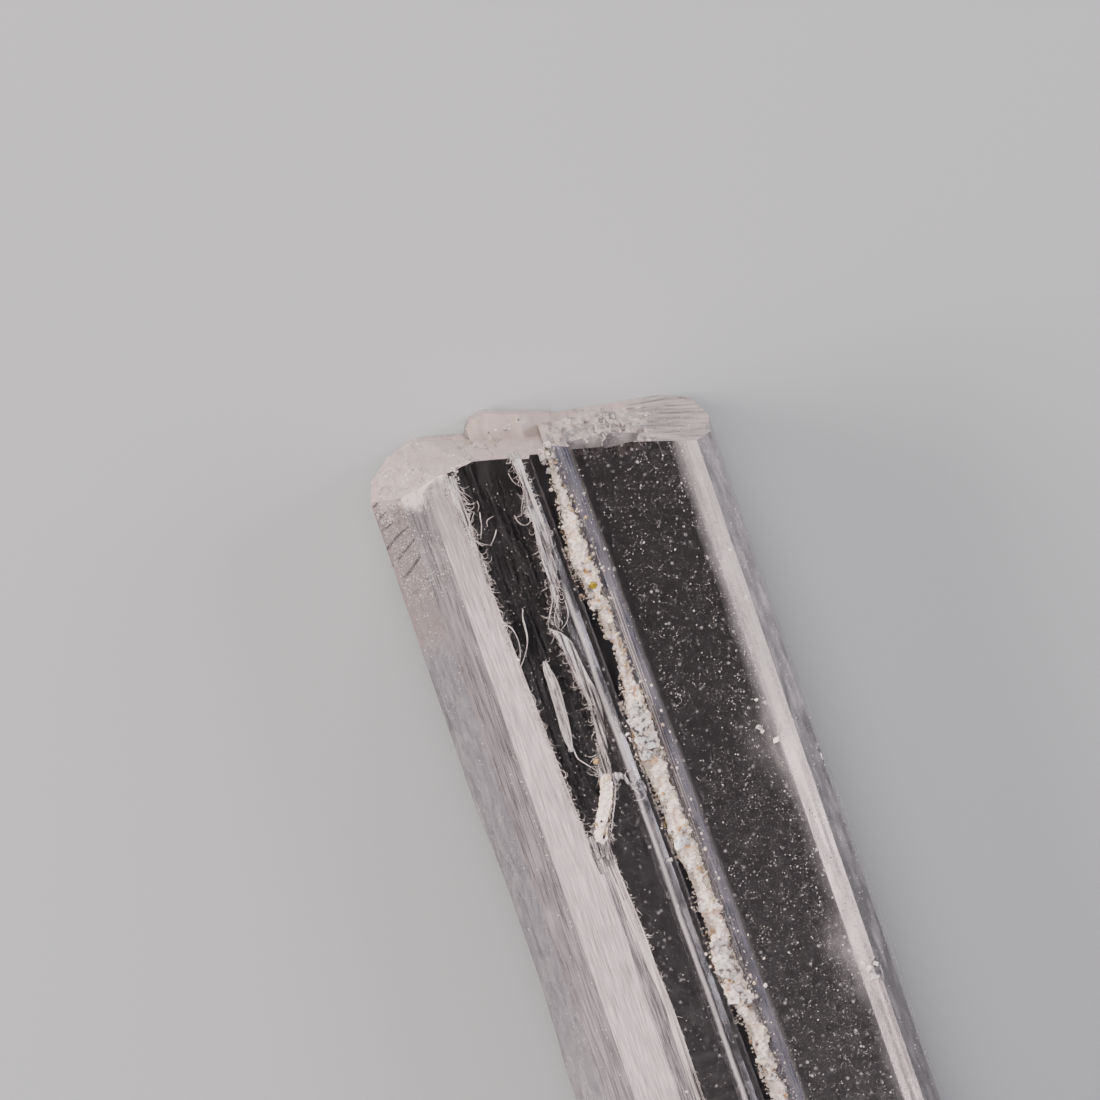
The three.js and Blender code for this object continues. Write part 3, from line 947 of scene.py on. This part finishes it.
def crust_grit():
    """White crumbs all along the crust in drifts, and thicker along its left edge."""
    dice = random.Random(31)
    spots = []
    for _ in range(5200):
        y = dice.uniform(FOOT, TIP)
        spread = 0.55 * (CRUST_RIGHT - crust_edge(y))
        x = crust_middle(y) + dice.gauss(0, spread) + 0.08 * noise.noise(Vector((y * 1.3, 3, 0)))
        if noise.noise(Vector((x * 2, y * 1.1, 7))) < -0.2:
            continue
        size = dice.choice((0.015, 0.02, 0.02, 0.025, 0.03, 0.03, 0.045, 0.06))
        on_crust = ground(x, y, CRUST_TOP)
        if not on_crust and (dice.random() < 0.6 or x + GROOVE_YAW * y < crust_edge(y) - 0.15):
            continue
        seat(spots, dice, x, y, size, CRUST_TOP if on_crust else CRYSTAL_TOP)
    # Lace along the crust's left edge.
    for _ in range(3200):
        y = dice.uniform(FOOT, 13.4)
        x = crust_edge(y) - GROOVE_YAW * y + dice.gauss(0.02, 0.055)
        if noise.noise(Vector((x * 5, y * 2.2, 4))) > dice.uniform(-0.5, 0.3):
            size = dice.choice((0.014, 0.018, 0.022, 0.028, 0.036))
            seat(spots, dice, x, y, size, CRUST_TOP if ground(x, y, CRUST_TOP) else CRYSTAL_TOP)
    return spots


scatter("crust_grit", CRUMBS, crust_grit(), CHALK)


def wall_grit():
    """Finer crumbs that cover the foot of the groove's right wall and thin out to its middle."""
    dice = random.Random(33)
    spots = []
    for _ in range(7000):
        y = dice.uniform(FOOT, 13.5)
        x = 0.45 + abs(dice.gauss(0, 0.16)) - GROOVE_YAW * y
        if noise.noise(Vector((x * 6, y * 2.5, 2))) > dice.uniform(-0.6, 0.4):
            seat(spots, dice, x, y, dice.choice((0.01, 0.012, 0.014, 0.018, 0.025)), CRYSTAL_TOP)
    return spots


scatter("wall_grit", SPECKS, wall_grit(), DUST)


# Clusters of clear grains: the middle of each along the crust, its half length, its count and their half size.
CLUSTERS = [
    (5.0, 0.9, 26, 0.16), (13.2, 0.5, 14, 0.1), (9.0, 1.2, 12, 0.07), (-1.9, 0.5, 9, 0.17),
    (-3.0, 0.3, 6, 0.15), (-5.5, 1.2, 14, 0.08), (-9, 2, 22, 0.13), (-12.5, 1.2, 16, 0.12),
    (2.2, 0.8, 10, 0.09),
]


def crust_grains():
    """Clear grains in clusters along the crust."""
    dice = random.Random(47)
    spots = []
    for middle, spread, count, size in CLUSTERS:
        for _ in range(count):
            y = middle + dice.uniform(-spread, spread)
            x = crust_middle(y) + dice.uniform(-0.22, 0.2)
            tree = CRUST_TOP if ground(x, y, CRUST_TOP) else CRYSTAL_TOP
            seat(spots, dice, x, y, size * dice.uniform(0.6, 1.2), tree, sink=0.25)
    return spots


scatter("crust_grains", BLOCKS, crust_grains(), SHARD)


def placed_grains(name, grains, shapes, material, tree, seed):
    """Single grains on a surface, each with its place and size in mm."""
    dice = random.Random(seed)
    spots = []
    for x, y, size in grains:
        seat(spots, dice, x, y, size, tree, sink=0.2)
    scatter(name, shapes, spots, material)


# Single grains: their places and half sizes in mm.
HONEY_GRAINS = [
    (0.2, 9.75, 0.09), (0.27, 8.86, 0.1), (0.29, 5.67, 0.11), (0.1, 4.19, 0.09), (0.21, 3.09, 0.08),
    (0.28, -2.49, 0.1), (0.16, 14.0, 0.13), (0.3, 13.9, 0.04), (0.3, -8.3, 0.1), (0.36, -11.6, 0.12),
]
placed_grains("honey_grains", HONEY_GRAINS, CRUMBS, HONEY, CRUST_TOP, 3)
placed_grains("olive_grain", [(0.25, 9.32, 0.14)], BLOCKS, OLIVE, CRUST_TOP, 4)
placed_grains("seam_honey_grains", [(-1.27, 4.56, 0.09), (-1.82, 2.86, 0.1)], CRUMBS, HONEY, CRYSTAL_TOP, 5)
placed_grains("ore_speck", [(-1.69, 2.92, 0.04)], CRUMBS, ORE, VEIN_TOP, 6)
WHITE_BLOCKS = [
    (0.2, -1.85, 0.26), (0.34, -2.1, 0.17), (0.21, -3.0, 0.2), (0.21, 1.62, 0.19), (0.24, 0.9, 0.14),
    (0.25, -0.3, 0.16), (0.1, 4.7, 0.17), (0.2, 5.2, 0.2), (0.3, -10.2, 0.2),
]
placed_grains("white_grains", WHITE_BLOCKS, BLOCKS, GRAIN, CRUST_TOP, 7)
LOOSE_GRAINS = [
    (0.06, -3.71, 0.07), (0.45, -3.45, 0.06), (-0.21, 1.26, 0.07), (-2.43, 8.0, 0.04),
    (-1.9, -5.1, 0.05),
]
placed_grains("loose_grains", LOOSE_GRAINS, BLOCKS, GRAIN, CRYSTAL_TOP, 8)

# ---- The torn seam -------------------------------------------------------------------------------
# Edge lines from the termination down, in mm: of the bands in the seam, the vein, and the leaf beside them.
SEAM_LEFT = [
    (-1.34, 8.58), (-1.16, 8.22), (-1.12, 7.67), (-1.1, 7.19), (-1.05, 6.81), (-0.95, 6.42),
    (-0.96, 5.94), (-0.99, 5.42), (-1.13, 4.86), (-1.27, 4.44), (-1.35, 4.04),
]
SEAM_RIGHT = [
    (-1.06, 8.36), (-0.83, 7.99), (-0.78, 7.43), (-0.7, 6.87), (-0.61, 6.36), (-0.66, 5.78),
    (-0.79, 5.23), (-0.86, 4.77), (-0.94, 4.26), (-1.0, 3.92),
]
UPPER_SEAM_LEFT = [
    (-0.8, 13.62), (-0.74, 13.3), (-0.71, 12.84), (-0.7, 12.3), (-0.84, 11.8), (-0.72, 11.35),
    (-0.8, 10.92), (-0.83, 10.4), (-0.84, 9.89), (-1.0, 9.3), (-1.28, 8.7),
]
UPPER_SEAM_RIGHT = [
    (-0.52, 13.64), (-0.5, 13.2), (-0.52, 12.6), (-0.5, 12.0), (-0.46, 11.46), (-0.46, 11.11),
    (-0.51, 10.68), (-0.55, 10.21), (-0.66, 9.7), (-0.8, 9.2), (-1.02, 8.5),
]
VEIN_LEFT = [(-1.26, 3.96), (-1.46, 3.48), (-1.77, 3.09), (-2.0, 2.78), (-2.02, 2.38)]
VEIN_RIGHT = [(-0.89, 3.88), (-1.1, 3.46), (-1.33, 3.04), (-1.5, 2.6), (-1.66, 2.26)]
LOWER_SEAM_LEFT = [
    (-2.1, 2.2), (-1.97, 1.07), (-1.98, 0.18), (-1.85, -1.16), (-1.7, -2.42), (-1.74, -3.4),
    (-1.8, -5.36), (-1.82, -8.5), (-1.8, -12.0),
]
LOWER_SEAM_RIGHT = [
    (-1.67, 1.96), (-1.67, 1.37), (-1.6, 0.44), (-1.55, -0.57), (-1.56, -1.55), (-1.5, -2.48),
    (-1.49, -3.58), (-1.5, -5.37), (-1.52, -8.5), (-1.5, -12.0),
]
FRAYED_EDGE = [
    (-2.8, 13.51), (-2.7, 12.95), (-2.68, 12.12), (-2.64, 11.52), (-2.54, 10.87), (-2.56, 10.29),
    (-2.56, 9.54), (-2.55, 9.01), (-2.54, 8.5), (-2.5, 7.63), (-2.48, 6.74), (-2.4, 5.9), (-2.38, 5.1),
    (-2.36, 4.29), (-2.31, 3.58), (-2.25, 2.86), (-2.2, 2.15),
]
LEAF_LEFT = [(-1.76, 7.72), (-1.85, 7.5), (-1.86, 7.03), (-1.9, 6.32), (-1.95, 5.6), (-1.86, 5.06)]
LEAF_RIGHT = [(-1.72, 7.72), (-1.66, 7.5), (-1.57, 7.03), (-1.61, 6.32), (-1.68, 5.6), (-1.8, 5.04)]
# The fibrous strip between the striated slope and the top of the left window.
EDGE_STRIP_LEFT = [
    (-2.8, 13.6), (-2.72, 12.95), (-2.68, 12.12), (-2.64, 11.52), (-2.54, 10.87), (-2.56, 10.29),
]
EDGE_STRIP_RIGHT = [
    (-2.38, 13.5), (-2.42, 12.8), (-2.45, 12.12), (-2.5, 11.5), (-2.44, 10.8), (-2.48, 10.3),
]
# The right wall of the groove, combed along its length.
WALL_LEFT = [(0.3, 13.6), (0.42, 9.0), (0.5, 4.0), (0.5, -1.0), (0.6, -6.0), (0.75, -13.0)]
WALL_RIGHT = [(0.72, 13.6), (0.8, 9.0), (0.82, 4.0), (0.9, -1.0), (0.95, -6.0), (1.1, -13.0)]

# Torn sheets, each with its left and right edge, its lift, thickness and curl in mm, and a seed for its
# ripple. First come the half clear bands that the threads lie on: along the seam, above it, and at the top of
# the left window.
BANDS = [
    (SEAM_LEFT, SEAM_RIGHT, 0.0, 0.012, 0.01, 6),
    (UPPER_SEAM_LEFT, UPPER_SEAM_RIGHT, 0.0, 0.012, 0.01, 7),
    (EDGE_STRIP_LEFT, EDGE_STRIP_RIGHT, 0.0, 0.012, 0.01, 8),
]
UPPER_RIBBON_LEFT = [
    (-0.78, 12.05), (-0.74, 11.7), (-0.78, 11.35), (-0.84, 10.9), (-0.86, 10.4), (-0.86, 9.9),
    (-0.8, 9.7),
]
UPPER_RIBBON_RIGHT = [
    (-0.68, 12.0), (-0.62, 11.7), (-0.66, 11.35), (-0.72, 10.9), (-0.74, 10.4), (-0.78, 9.9),
    (-0.78, 9.7),
]
RIBBONS = [
    # Two ribbons down the upper seam.
    (
        UPPER_RIBBON_LEFT,
        UPPER_RIBBON_RIGHT,
        0.02, 0.02, 0.04, 1,
    ),
    (
        [(-0.5, 11.5), (-0.5, 11.1), (-0.55, 10.7), (-0.63, 10.2), (-0.75, 9.75)],
        [(-0.46, 11.46), (-0.42, 11.11), (-0.47, 10.68), (-0.55, 10.21), (-0.71, 9.72)],
        0.02, 0.02, 0.03, 2,
    ),
    # The tongue that crosses the seam above the vein, and the one under the vein.
    (
        [(-1.2, 4.2), (-1.05, 4.08), (-0.88, 4.12), (-0.7, 4.02), (-0.64, 3.96)],
        [(-1.2, 3.82), (-1.0, 3.74), (-0.88, 3.84), (-0.76, 3.86), (-0.7, 3.86)],
        0.05, 0.03, 0.05, 3,
    ),
    (
        [(-1.96, 2.5), (-2.04, 2.36), (-2.1, 2.12), (-2.0, 1.9)],
        [(-1.62, 2.4), (-1.66, 2.25), (-1.7, 2.1), (-1.72, 1.8)],
        0.02, 0.02, 0.03, 4,
    ),
    # The strip that closes the foot of the left window.
    (
        [(-2.3, 2.6), (-2.28, 2.3), (-2.24, 2.0), (-2.2, 1.5)],
        [(-2.08, 2.6), (-2.02, 2.3), (-1.98, 2.0), (-1.96, 1.5)],
        0.01, 0.015, 0.02, 9,
    ),
]
flaps("seam_flaps", BANDS + RIBBONS, FLAKE)
flaps("peeled_leaf", [(LEAF_LEFT, LEAF_RIGHT, 0.05, 0.02, 0.02, 5)], FLAKE)


COMBED_POINTS = 16  # along a thread that runs the full length of its band


def between(left, right, across, lift):
    """A thread between two edge lines, a part of the way across."""
    rows = zip(smooth_line(left, COMBED_POINTS), smooth_line(right, COMBED_POINTS))
    return laid([tuple(a.lerp(b, across)) for a, b in rows], lift)


def combed(dice, left, right, count, lift):
    """Threads that run side by side between two lines, each over a part of their length."""
    lines = []
    for _ in range(count):
        thread = between(left, right, dice.uniform(0, 1), lift)
        start = dice.randrange(0, 8)
        stop = min(COMBED_POINTS, start + dice.randrange(5, 12))
        lines.append((dice.uniform(0.009, 0.02), thread[start:stop]))
    return lines


def strand(x, y, heading, length, bends):
    """Points along a short strand from (x, y), in even steps, each followed by a turn of one of the bends."""
    points = [(x, y)]
    for bend in bends:
        x += math.cos(heading) * length / len(bends)
        y += math.sin(heading) * length / len(bends)
        heading += bend
        points.append((x, y))
    return points


def frayed(dice, edge, count, reach, side, spread):
    """Short curved hairs torn loose along a line, leaning to one side. Reach in mm, spread in degrees."""
    line = smooth_line(edge, 120)
    lines = []
    for _ in range(count):
        i = dice.randrange(1, len(line) - 2)
        heading = line[i + 1] - line[i]
        angle = math.atan2(heading.y, heading.x) + side * math.radians(dice.uniform(*spread))
        if dice.random() < 0.3:
            angle += math.pi
        bend = dice.gauss(0, 0.7)
        length = dice.uniform(0.25, 1) ** 2 * reach
        points = strand(line[i].x + dice.gauss(0, 0.025), line[i].y, angle, length, [bend] * 5)
        lines.append((dice.uniform(0.010, 0.02), laid(points, 0.004, dice.uniform(0.0, 0.06))))
    return lines


# Bands of combed threads: the left and right edge, how many threads, and their lift in mm.
COMBED = [
    (SEAM_LEFT, SEAM_RIGHT, 90, 0.006),
    (UPPER_SEAM_LEFT, UPPER_SEAM_RIGHT, 36, 0.006),
    (LOWER_SEAM_LEFT, LOWER_SEAM_RIGHT, 70, 0.003),
    (LEAF_LEFT, LEAF_RIGHT, 40, 0.085),
    (EDGE_STRIP_LEFT, EDGE_STRIP_RIGHT, 22, 0.006),
    (WALL_LEFT, WALL_RIGHT, 9, 0.003),
    (VEIN_LEFT, VEIN_RIGHT, 30, 0.004),
]
# Frayed edges: the line, how many hairs, their reach, the side they lean to (1 is right), and their spread.
FRAYED = [
    (FRAYED_EDGE, 480, 0.42, 1, (2, 50)),
    (EDGE_STRIP_RIGHT, 110, 0.45, 1, (4, 70)),
    (SEAM_LEFT, 170, 0.38, -1, (10, 90)),
    (UPPER_SEAM_LEFT, 200, 0.42, -1, (5, 90)),
    (UPPER_SEAM_RIGHT, 120, 0.35, 1, (5, 70)),
    (LOWER_SEAM_RIGHT, 130, 0.28, 1, (5, 70)),
    (VEIN_LEFT, 70, 0.25, -1, (10, 80)),
    (VEIN_RIGHT, 60, 0.25, 1, (10, 80)),
    (LEAF_LEFT, 12, 0.2, -1, (5, 60)),
    (LEAF_RIGHT, 16, 0.25, 1, (5, 60)),
]
dice = random.Random(11)
fibres("seam_threads", [thread for band in COMBED for thread in combed(dice, *band)], FIBRE)
fibres("torn_hairs", [hair for edge in FRAYED for hair in frayed(dice, *edge)], FIBRE, steps=2)

# Threads and the clear splinter: thickness, how far the middle arches up, and the line each follows, in mm.
LONG_FIBRES = [
    # Curls below the left front's striated slope.
    (0.035, 0.08, [(-2.72, 13.3), (-2.6, 13.2), (-2.52, 12.95), (-2.38, 12.75), (-2.3, 12.6)]),
    (0.03, 0.06, [(-2.45, 13.41), (-2.48, 13.2), (-2.41, 12.97), (-2.26, 12.67)]),
    (0.025, 0.06, [(-2.07, 12.63), (-2.07, 12.46), (-2.15, 12.34)]),
    (0.045, 0.1, [(-2.1, 12.3), (-2.14, 12.12), (-2.18, 11.9), (-2.27, 11.7), (-2.31, 11.59)]),
    (0.03, 0.07, [(-2.02, 11.85), (-1.98, 12.02), (-1.75, 12.07)]),
    (0.04, 0.08, [(-1.82, 11.68), (-1.92, 11.52), (-2.1, 11.32)]),
    (0.025, 0.06, [(-2.35, 12.41), (-2.48, 12.1), (-2.56, 11.73), (-2.3, 11.42), (-2.05, 11.3)]),
    (0.02, 0.05, [(-2.24, 12.37), (-2.38, 12.17), (-2.5, 11.95)]),
    # The pair of bowed threads, and a third between them.
    (0.045, 0.16, [(-2.5, 9.04), (-2.36, 8.98), (-2.28, 8.8), (-2.25, 8.5), (-2.31, 8.15), (-2.51, 7.75)]),
    (0.045, 0.18, [(-1.84, 9.3), (-1.92, 9.1), (-1.93, 8.85), (-1.99, 8.45), (-2.21, 8.05), (-2.49, 7.72)]),
    (0.025, 0.14, [(-1.95, 9.0), (-1.98, 8.62), (-2.08, 8.25), (-2.36, 7.85)]),
    # Loops on the frayed edge.
    (0.025, 0.1, [(-2.5, 7.05), (-2.4, 6.98), (-2.34, 6.8), (-2.42, 6.6), (-2.54, 6.68)]),
    (0.02, 0.1, [(-2.49, 6.05), (-2.42, 5.8), (-2.48, 5.58), (-2.58, 5.5)]),
    (0.02, 0.08, [(-2.34, 4.7), (-2.22, 4.58), (-2.24, 4.4), (-2.33, 4.3)]),
    # Loose threads of the upper seam.
    (
        0.035,
        0.06,
        [(-0.76, 13.4), (-0.71, 12.99), (-0.68, 12.63), (-0.79, 12.32), (-0.97, 11.98), (-1.03, 11.7)],
    ),
    (0.03, 0.06, [(-0.69, 13.33), (-0.71, 12.84), (-0.66, 12.47), (-0.71, 12.19), (-0.88, 11.9)]),
    (0.025, 0.05, [(-0.98, 13.08), (-0.92, 12.81), (-0.76, 12.61)]),
    (0.03, 0.08, [(-1.2, 11.9), (-1.16, 11.68), (-1.01, 11.54), (-0.85, 11.57), (-0.74, 11.72)]),
    (0.04, 0.08, [(-0.91, 9.67), (-0.96, 9.29), (-1.17, 8.91), (-1.3, 8.66), (-1.29, 8.41), (-1.2, 8.2)]),
    (0.035, 0.1, [(-0.76, 9.37), (-0.9, 9.1), (-1.06, 8.82), (-1.1, 8.54), (-0.96, 8.34)]),
    (0.03, 0.08, [(-0.63, 9.17), (-0.66, 8.79), (-0.8, 8.55), (-1.0, 8.42)]),
    # The thread that ties the leaf to the seam, and the two long threads over the vein.
    (0.045, 0.05, [(-1.77, 5.12), (-1.75, 4.83), (-1.6, 4.62), (-1.42, 4.4), (-1.28, 4.2)]),
    (0.05, 0.04, [(-1.14, 3.7), (-1.3, 3.3), (-1.5, 2.9), (-1.72, 2.5), (-1.85, 2.3)]),
    (0.04, 0.05, [(-1.0, 3.7), (-1.16, 3.3), (-1.36, 2.9), (-1.55, 2.5), (-1.75, 2.2)]),
    # A small ring on the lower seam's edge.
    (
        0.03,
        0.06,
        [(-1.68, -0.2), (-1.58, -0.3), (-1.6, -0.46), (-1.7, -0.46), (-1.73, -0.34), (-1.66, -0.24)],
    ),
]
# A curled splinter of clear crystal between the seam and the groove.
SPLINTER = [
    (
        0.05,
        0.1,
        [(-0.6, 4.0), (-0.42, 4.02), (-0.32, 3.85), (-0.42, 3.66), (-0.6, 3.66), (-0.68, 3.82), (-0.6, 3.98)],
    ),
    (0.06, 0.06, [(-0.66, 3.95), (-0.6, 3.7), (-0.5, 3.45), (-0.38, 3.2)]),
    (0.04, 0.12, [(-0.24, 3.62), (-0.2, 3.4), (-0.28, 3.2), (-0.45, 3.14), (-0.62, 3.18)]),
    (0.04, 0.05, [(-0.6, 3.5), (-0.45, 3.5), (-0.35, 3.4)]),
]


def arched(threads, knots, lift, thinner=1.0, flatter=1.0):
    """Lay threads along smooth lines, with a number of knots for each point that the line is given by."""
    lines = []
    for thickness, arch, points in threads:
        line = [tuple(point) for point in smooth_line(points, knots * len(points))]
        lines.append((thinner * thickness, laid(line, lift, flatter * arch)))
    return lines


fibres("loose_fibres", arched(LONG_FIBRES, 3, 0.01, thinner=0.7, flatter=0.8), FIBRE, taper=0.3)

# Short fibres felted over the foot of the groove's right wall.
felt = []
while len(felt) < 800:
    y = dice.uniform(-14.5, 13.4)
    x = 0.5 + abs(dice.gauss(0, 0.13)) - GROOVE_YAW * y
    heading, length = math.radians(90 + dice.gauss(0, 35)), dice.uniform(0.06, 0.28)
    points = strand(x, y, heading, length, [dice.gauss(0, 0.2) for _ in range(3)])
    felt.append((dice.uniform(0.006, 0.013), laid(points, 0.004)))
fibres("wall_felt", felt, FIBRE)
fibres("curled_splinter", arched(SPLINTER, 4, 0.02), FLAKE, taper=0.6)


# ---- Dust and inclusions -------------------------------------------------------------------------
def dust(seed, count, left, right, foot, tip, sizes, gather):
    """Specks on a stretch of the crystal. The more `gather`, the more they bunch in drifts."""
    dice = random.Random(seed)
    spots = []
    while len(spots) < count:
        y = dice.uniform(foot, tip)
        x = dice.uniform(left, right)
        if noise.noise(Vector((x * 0.9, y * 0.6, seed))) < gather - 0.5 + dice.uniform(-0.3, 0.3):
            continue
        seat(spots, dice, x, y, dice.choice(sizes), CRYSTAL_TOP)
    return spots


# Half sizes of specks in mm, each as often as it is listed.
FINE = (0.004, 0.004, 0.005, 0.005, 0.005, 0.006, 0.006, 0.007, 0.007, 0.008, 0.009, 0.01, 0.012, 0.018)
COARSE = (0.008, 0.01, 0.012, 0.014, 0.018, 0.026)
FINEST = (0.003, 0.0035, 0.004, 0.0045, 0.005)
# Dusty stretches: a seed, how many specks, the lines in x and in y that they lie between, their half sizes,
# and how much they gather.
DUSTY = [
    (1, 13000, 1.2, 3.9, FOOT, TIP, FINE, 0.05),
    (2, 900, -2.4, -1.0, 3.0, 13.0, FINE, 0.1),
    (3, 1500, -1.4, -0.2, FOOT, 9.0, FINE, 0.1),
    (4, 1200, -4.9, -2.8, FOOT, TIP, COARSE, 0.3),
    (5, 900, 3.9, 4.9, FOOT, TIP, COARSE, 0.2),
    (6, 110, 1.2, 4.2, FOOT, TIP, (0.02, 0.028, 0.035), 0.1),
    (7, 700, 0.45, 1.0, FOOT, TIP, COARSE, 0.1),
    (8, 900, -4.9, -3.4, 10.4, 13.4, COARSE, 0.1),
    (9, 300, 3.1, 4.1, FOOT, 13.0, (0.01, 0.014, 0.018, 0.024, 0.03), 0.2),
    (12, 900, -4.95, -3.0, 12.8, 15.0, (0.008, 0.01, 0.014, 0.02, 0.03), 0.25),
]
HAZY = [(10, 12000, 1.2, 3.95, FOOT, TIP, FINEST, 0.0), (11, 4000, 2.6, 4.2, FOOT, TIP, FINEST, 0.0)]
scatter("dust", SPECKS, [speck for stretch in DUSTY for speck in dust(*stretch)], DUST)
scatter("fine_dust", SPECKS, [speck for stretch in HAZY for speck in dust(*stretch)], DUST)

# Fine scratches and lint on the right front.
lint = []
dice = random.Random(77)
while len(lint) < 40:
    x, y = dice.uniform(1.3, 3.7), dice.uniform(-14, 13)
    heading, length = dice.uniform(0, 6.28), dice.uniform(0.06, 0.3)
    points = strand(x, y, heading, length, [dice.gauss(0, 0.12)] * 4)
    lint.append((dice.uniform(0.003, 0.007), laid(points, 0.003)))
fibres("lint", lint, DUST)


# Clouds of inclusions: the middle of each, how far it spreads, in mm, and how many it holds.
CLOUDS = [
    ((3.4, -2.6, 5.6), (0.35, 0.8, 0.4), 420), ((3.0, -1.2, 5.2), (0.4, 1.0, 0.5), 240),
    ((2.9, -4.6, 5.0), (0.5, 0.7, 0.5), 200), ((2.2, 2.6, 5.8), (0.6, 0.5, 0.3), 160),
    ((-3.4, -6.0, 4.2), (0.4, 2.0, 0.5), 200), ((3.8, 3.8, 5.6), (0.2, 0.4, 0.3), 110),
]


def inclusions():
    """Tiny bubbles and cracks in the crystal, in small clouds, most of them near its right edge."""
    dice = random.Random(5)
    spots = []
    for middle, spread, count in CLOUDS:
        for _ in range(count):
            place = [dice.gauss(m, s / 1.6) for m, s in zip(middle, spread)]
            size = dice.choice((0.008, 0.01, 0.014, 0.02))
            half = (size * dice.uniform(0.8, 2.2), size * dice.uniform(0.8, 2.2), size * 0.4)
            spots.append((place, half, [dice.uniform(0, 3), dice.uniform(0, 3), dice.uniform(0, 3)]))
    return spots


scatter("inclusions", SPECKS, inclusions(), DUST)

# Splinters along the broken rim of the termination: the line that they lie on, in mm, and how many.
RIM_LINES = [
    ([(-2.4, 14.1), (-1.6, 14.2), (-0.9, 14.3), (-0.2, 14.5)], 50),
    ([(0.9, 13.35), (1.5, 13.3), (2.2, 13.2), (3.0, 13.25), (3.4, 13.4)], 30),
    ([(-4.9, 12.6), (-4.5, 13.3), (-3.9, 13.9), (-3.2, 14.1)], 50),
    ([(-2.85, 13.05), (-2.6, 13.4), (-2.3, 13.72), (-1.9, 13.8)], 90),
]
dice = random.Random(21)
rim_spots = []
for line, count in RIM_LINES:
    path = smooth_line(line, 50)
    for _ in range(count):
        x, y = dice.choice(path) + Vector((dice.gauss(0, 0.05), dice.gauss(0, 0.05)))
        size = dice.choice((0.012, 0.016, 0.02, 0.03, 0.04))
        seat(rim_spots, dice, x, y, size, CRYSTAL_TOP, sink=0.4, squash=0.5)
scatter("rim_splinters", BLOCKS, rim_spots, SHARD)

# Crumbs along the torn line between the striated slopes.
tear_spots = []
for _ in range(60):
    y = dice.uniform(TEAR_FOOT, TEAR_TIP)
    seat(tear_spots, dice, TEAR_X + dice.gauss(0, 0.03), y, dice.choice((0.012, 0.018, 0.03)), CRYSTAL_TOP)
scatter("tear_crumbs", CRUMBS, tear_spots, DUST)

# Splinters still held where the right edge is chipped: their places and half sizes in mm.
CHIPS = [
    (3.57, 4.74, 0.05), (3.4, 3.97, 0.09), (3.44, 3.85, 0.06), (3.74, 3.49, 0.09), (4.12, -3.5, 0.14),
    (4.0, -3.3, 0.1), (4.2, -3.75, 0.1), (4.3, -3.4, 0.09), (4.05, -3.8, 0.07), (4.25, 9.0, 0.04),
]
placed_grains("edge_chips", CHIPS, BLOCKS, GRAIN, CRYSTAL_TOP, 9)

# ---- Floor, light and camera ---------------------------------------------------------------------
def pale_floor():
    """The card that the crystal lies on: matt, so it is an even pale grey."""
    bm = bmesh.new()
    bmesh.ops.create_grid(bm, x_segments=1, y_segments=1, size=0.6)
    bmesh.ops.translate(bm, verts=bm.verts, vec=(0, 0, -0.02 * MM))
    mesh = finished_mesh(bm, "floor")
    material, tree, _ = material_tree("pale matt card")
    shaded(tree, {"Base Color": linear("aaadb0"), "Roughness": 0.9})
    mesh.materials.append(material)
    return placed("floor", mesh)


pale_floor()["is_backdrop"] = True


def softbox(name, place, size, power, colour, seen_through=False):
    """A soft light that looks at the crystal. Place and size in mm."""
    lamp = bpy.data.lights.new(name, "AREA")
    lamp.shape = "RECTANGLE"
    lamp.size, lamp.size_y = size[0] * MM, size[1] * MM
    lamp.energy = power
    lamp.color = linear(colour)[:3]
    made = placed(name, lamp)
    made.location = Vector(place) * MM
    made.rotation_euler = (Vector((0, 4, 3)) * MM - made.location).to_track_quat("-Z", "Y").to_euler()
    made.visible_transmission = seen_through
    made.visible_glossy = seen_through


softbox("key light", (-170, 60, 110), (120, 120), 0.5, "fff2ee")
softbox("fill light", (180, -20, 120), (140, 120), 0.24, "f4f2ff")
softbox("top light", (-20, 30, 320), (160, 160), 0.7, "fff6f2")
softbox("end light", (20, 200, 90), (140, 90), 0.4, "fff6f2")
softbox("left card", (-190, 0, 125), (70, 90), 0.13, "ffece8", seen_through=True)
softbox("right card", (190, 0, 135), (60, 90), 0.09, "ece8f4", seen_through=True)


def studio():
    """Soft grey light from all round, dimmer from above than from the sides."""
    world = bpy.data.worlds.new("studio")
    world.use_nodes = True
    tree = world.node_tree
    tree.nodes.clear()
    direction = add(tree, "TexCoord", (), "Generated")
    height = add(tree, "SeparateXYZ", {"Vector": direction}, "Z")
    sky = add(tree, "ValToRGB", {"Fac": height})
    level, above = sky.node.color_ramp.elements
    level.position, level.color = 0.0, (0.5, 0.5, 0.5, 1)
    above.position, above.color = 0.5, (0.06, 0.06, 0.06, 1)
    glow = add(tree, "Background", {"Color": sky, "Strength": 0.5})
    add(tree, "OutputWorld", {"Surface": glow})
    return world


bpy.context.scene.world = studio()

# The camera looks straight down on the lying crystal, turned so that it leans to the left of upright.
LENS, SENSOR = 300, 36  # mm
LEAN = math.radians(19)
VIEW_WIDTH = 31.08 * MM  # across the frame, at the height of the front face
AIM = Vector((-0.568, 10.647, 7.0)) * MM
camera_data = bpy.data.cameras.new("camera")
camera_data.lens = LENS
camera_data.sensor_width = SENSOR
camera_data.clip_start = 0.01
camera_data.clip_end = 5
camera = placed("camera", camera_data)
right = Vector((math.cos(LEAN), -math.sin(LEAN), 0))
up = Vector((math.sin(LEAN), math.cos(LEAN), 0))
turn = Matrix((right, up, Vector((0, 0, 1)))).transposed().to_4x4()
distance = VIEW_WIDTH * LENS / SENSOR
camera.matrix_world = Matrix.Translation(AIM + Vector((0, 0, distance))) @ turn
bpy.context.scene.camera = camera

str([[list(corner) for corner in box] for box in (CAD_BOX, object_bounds())])
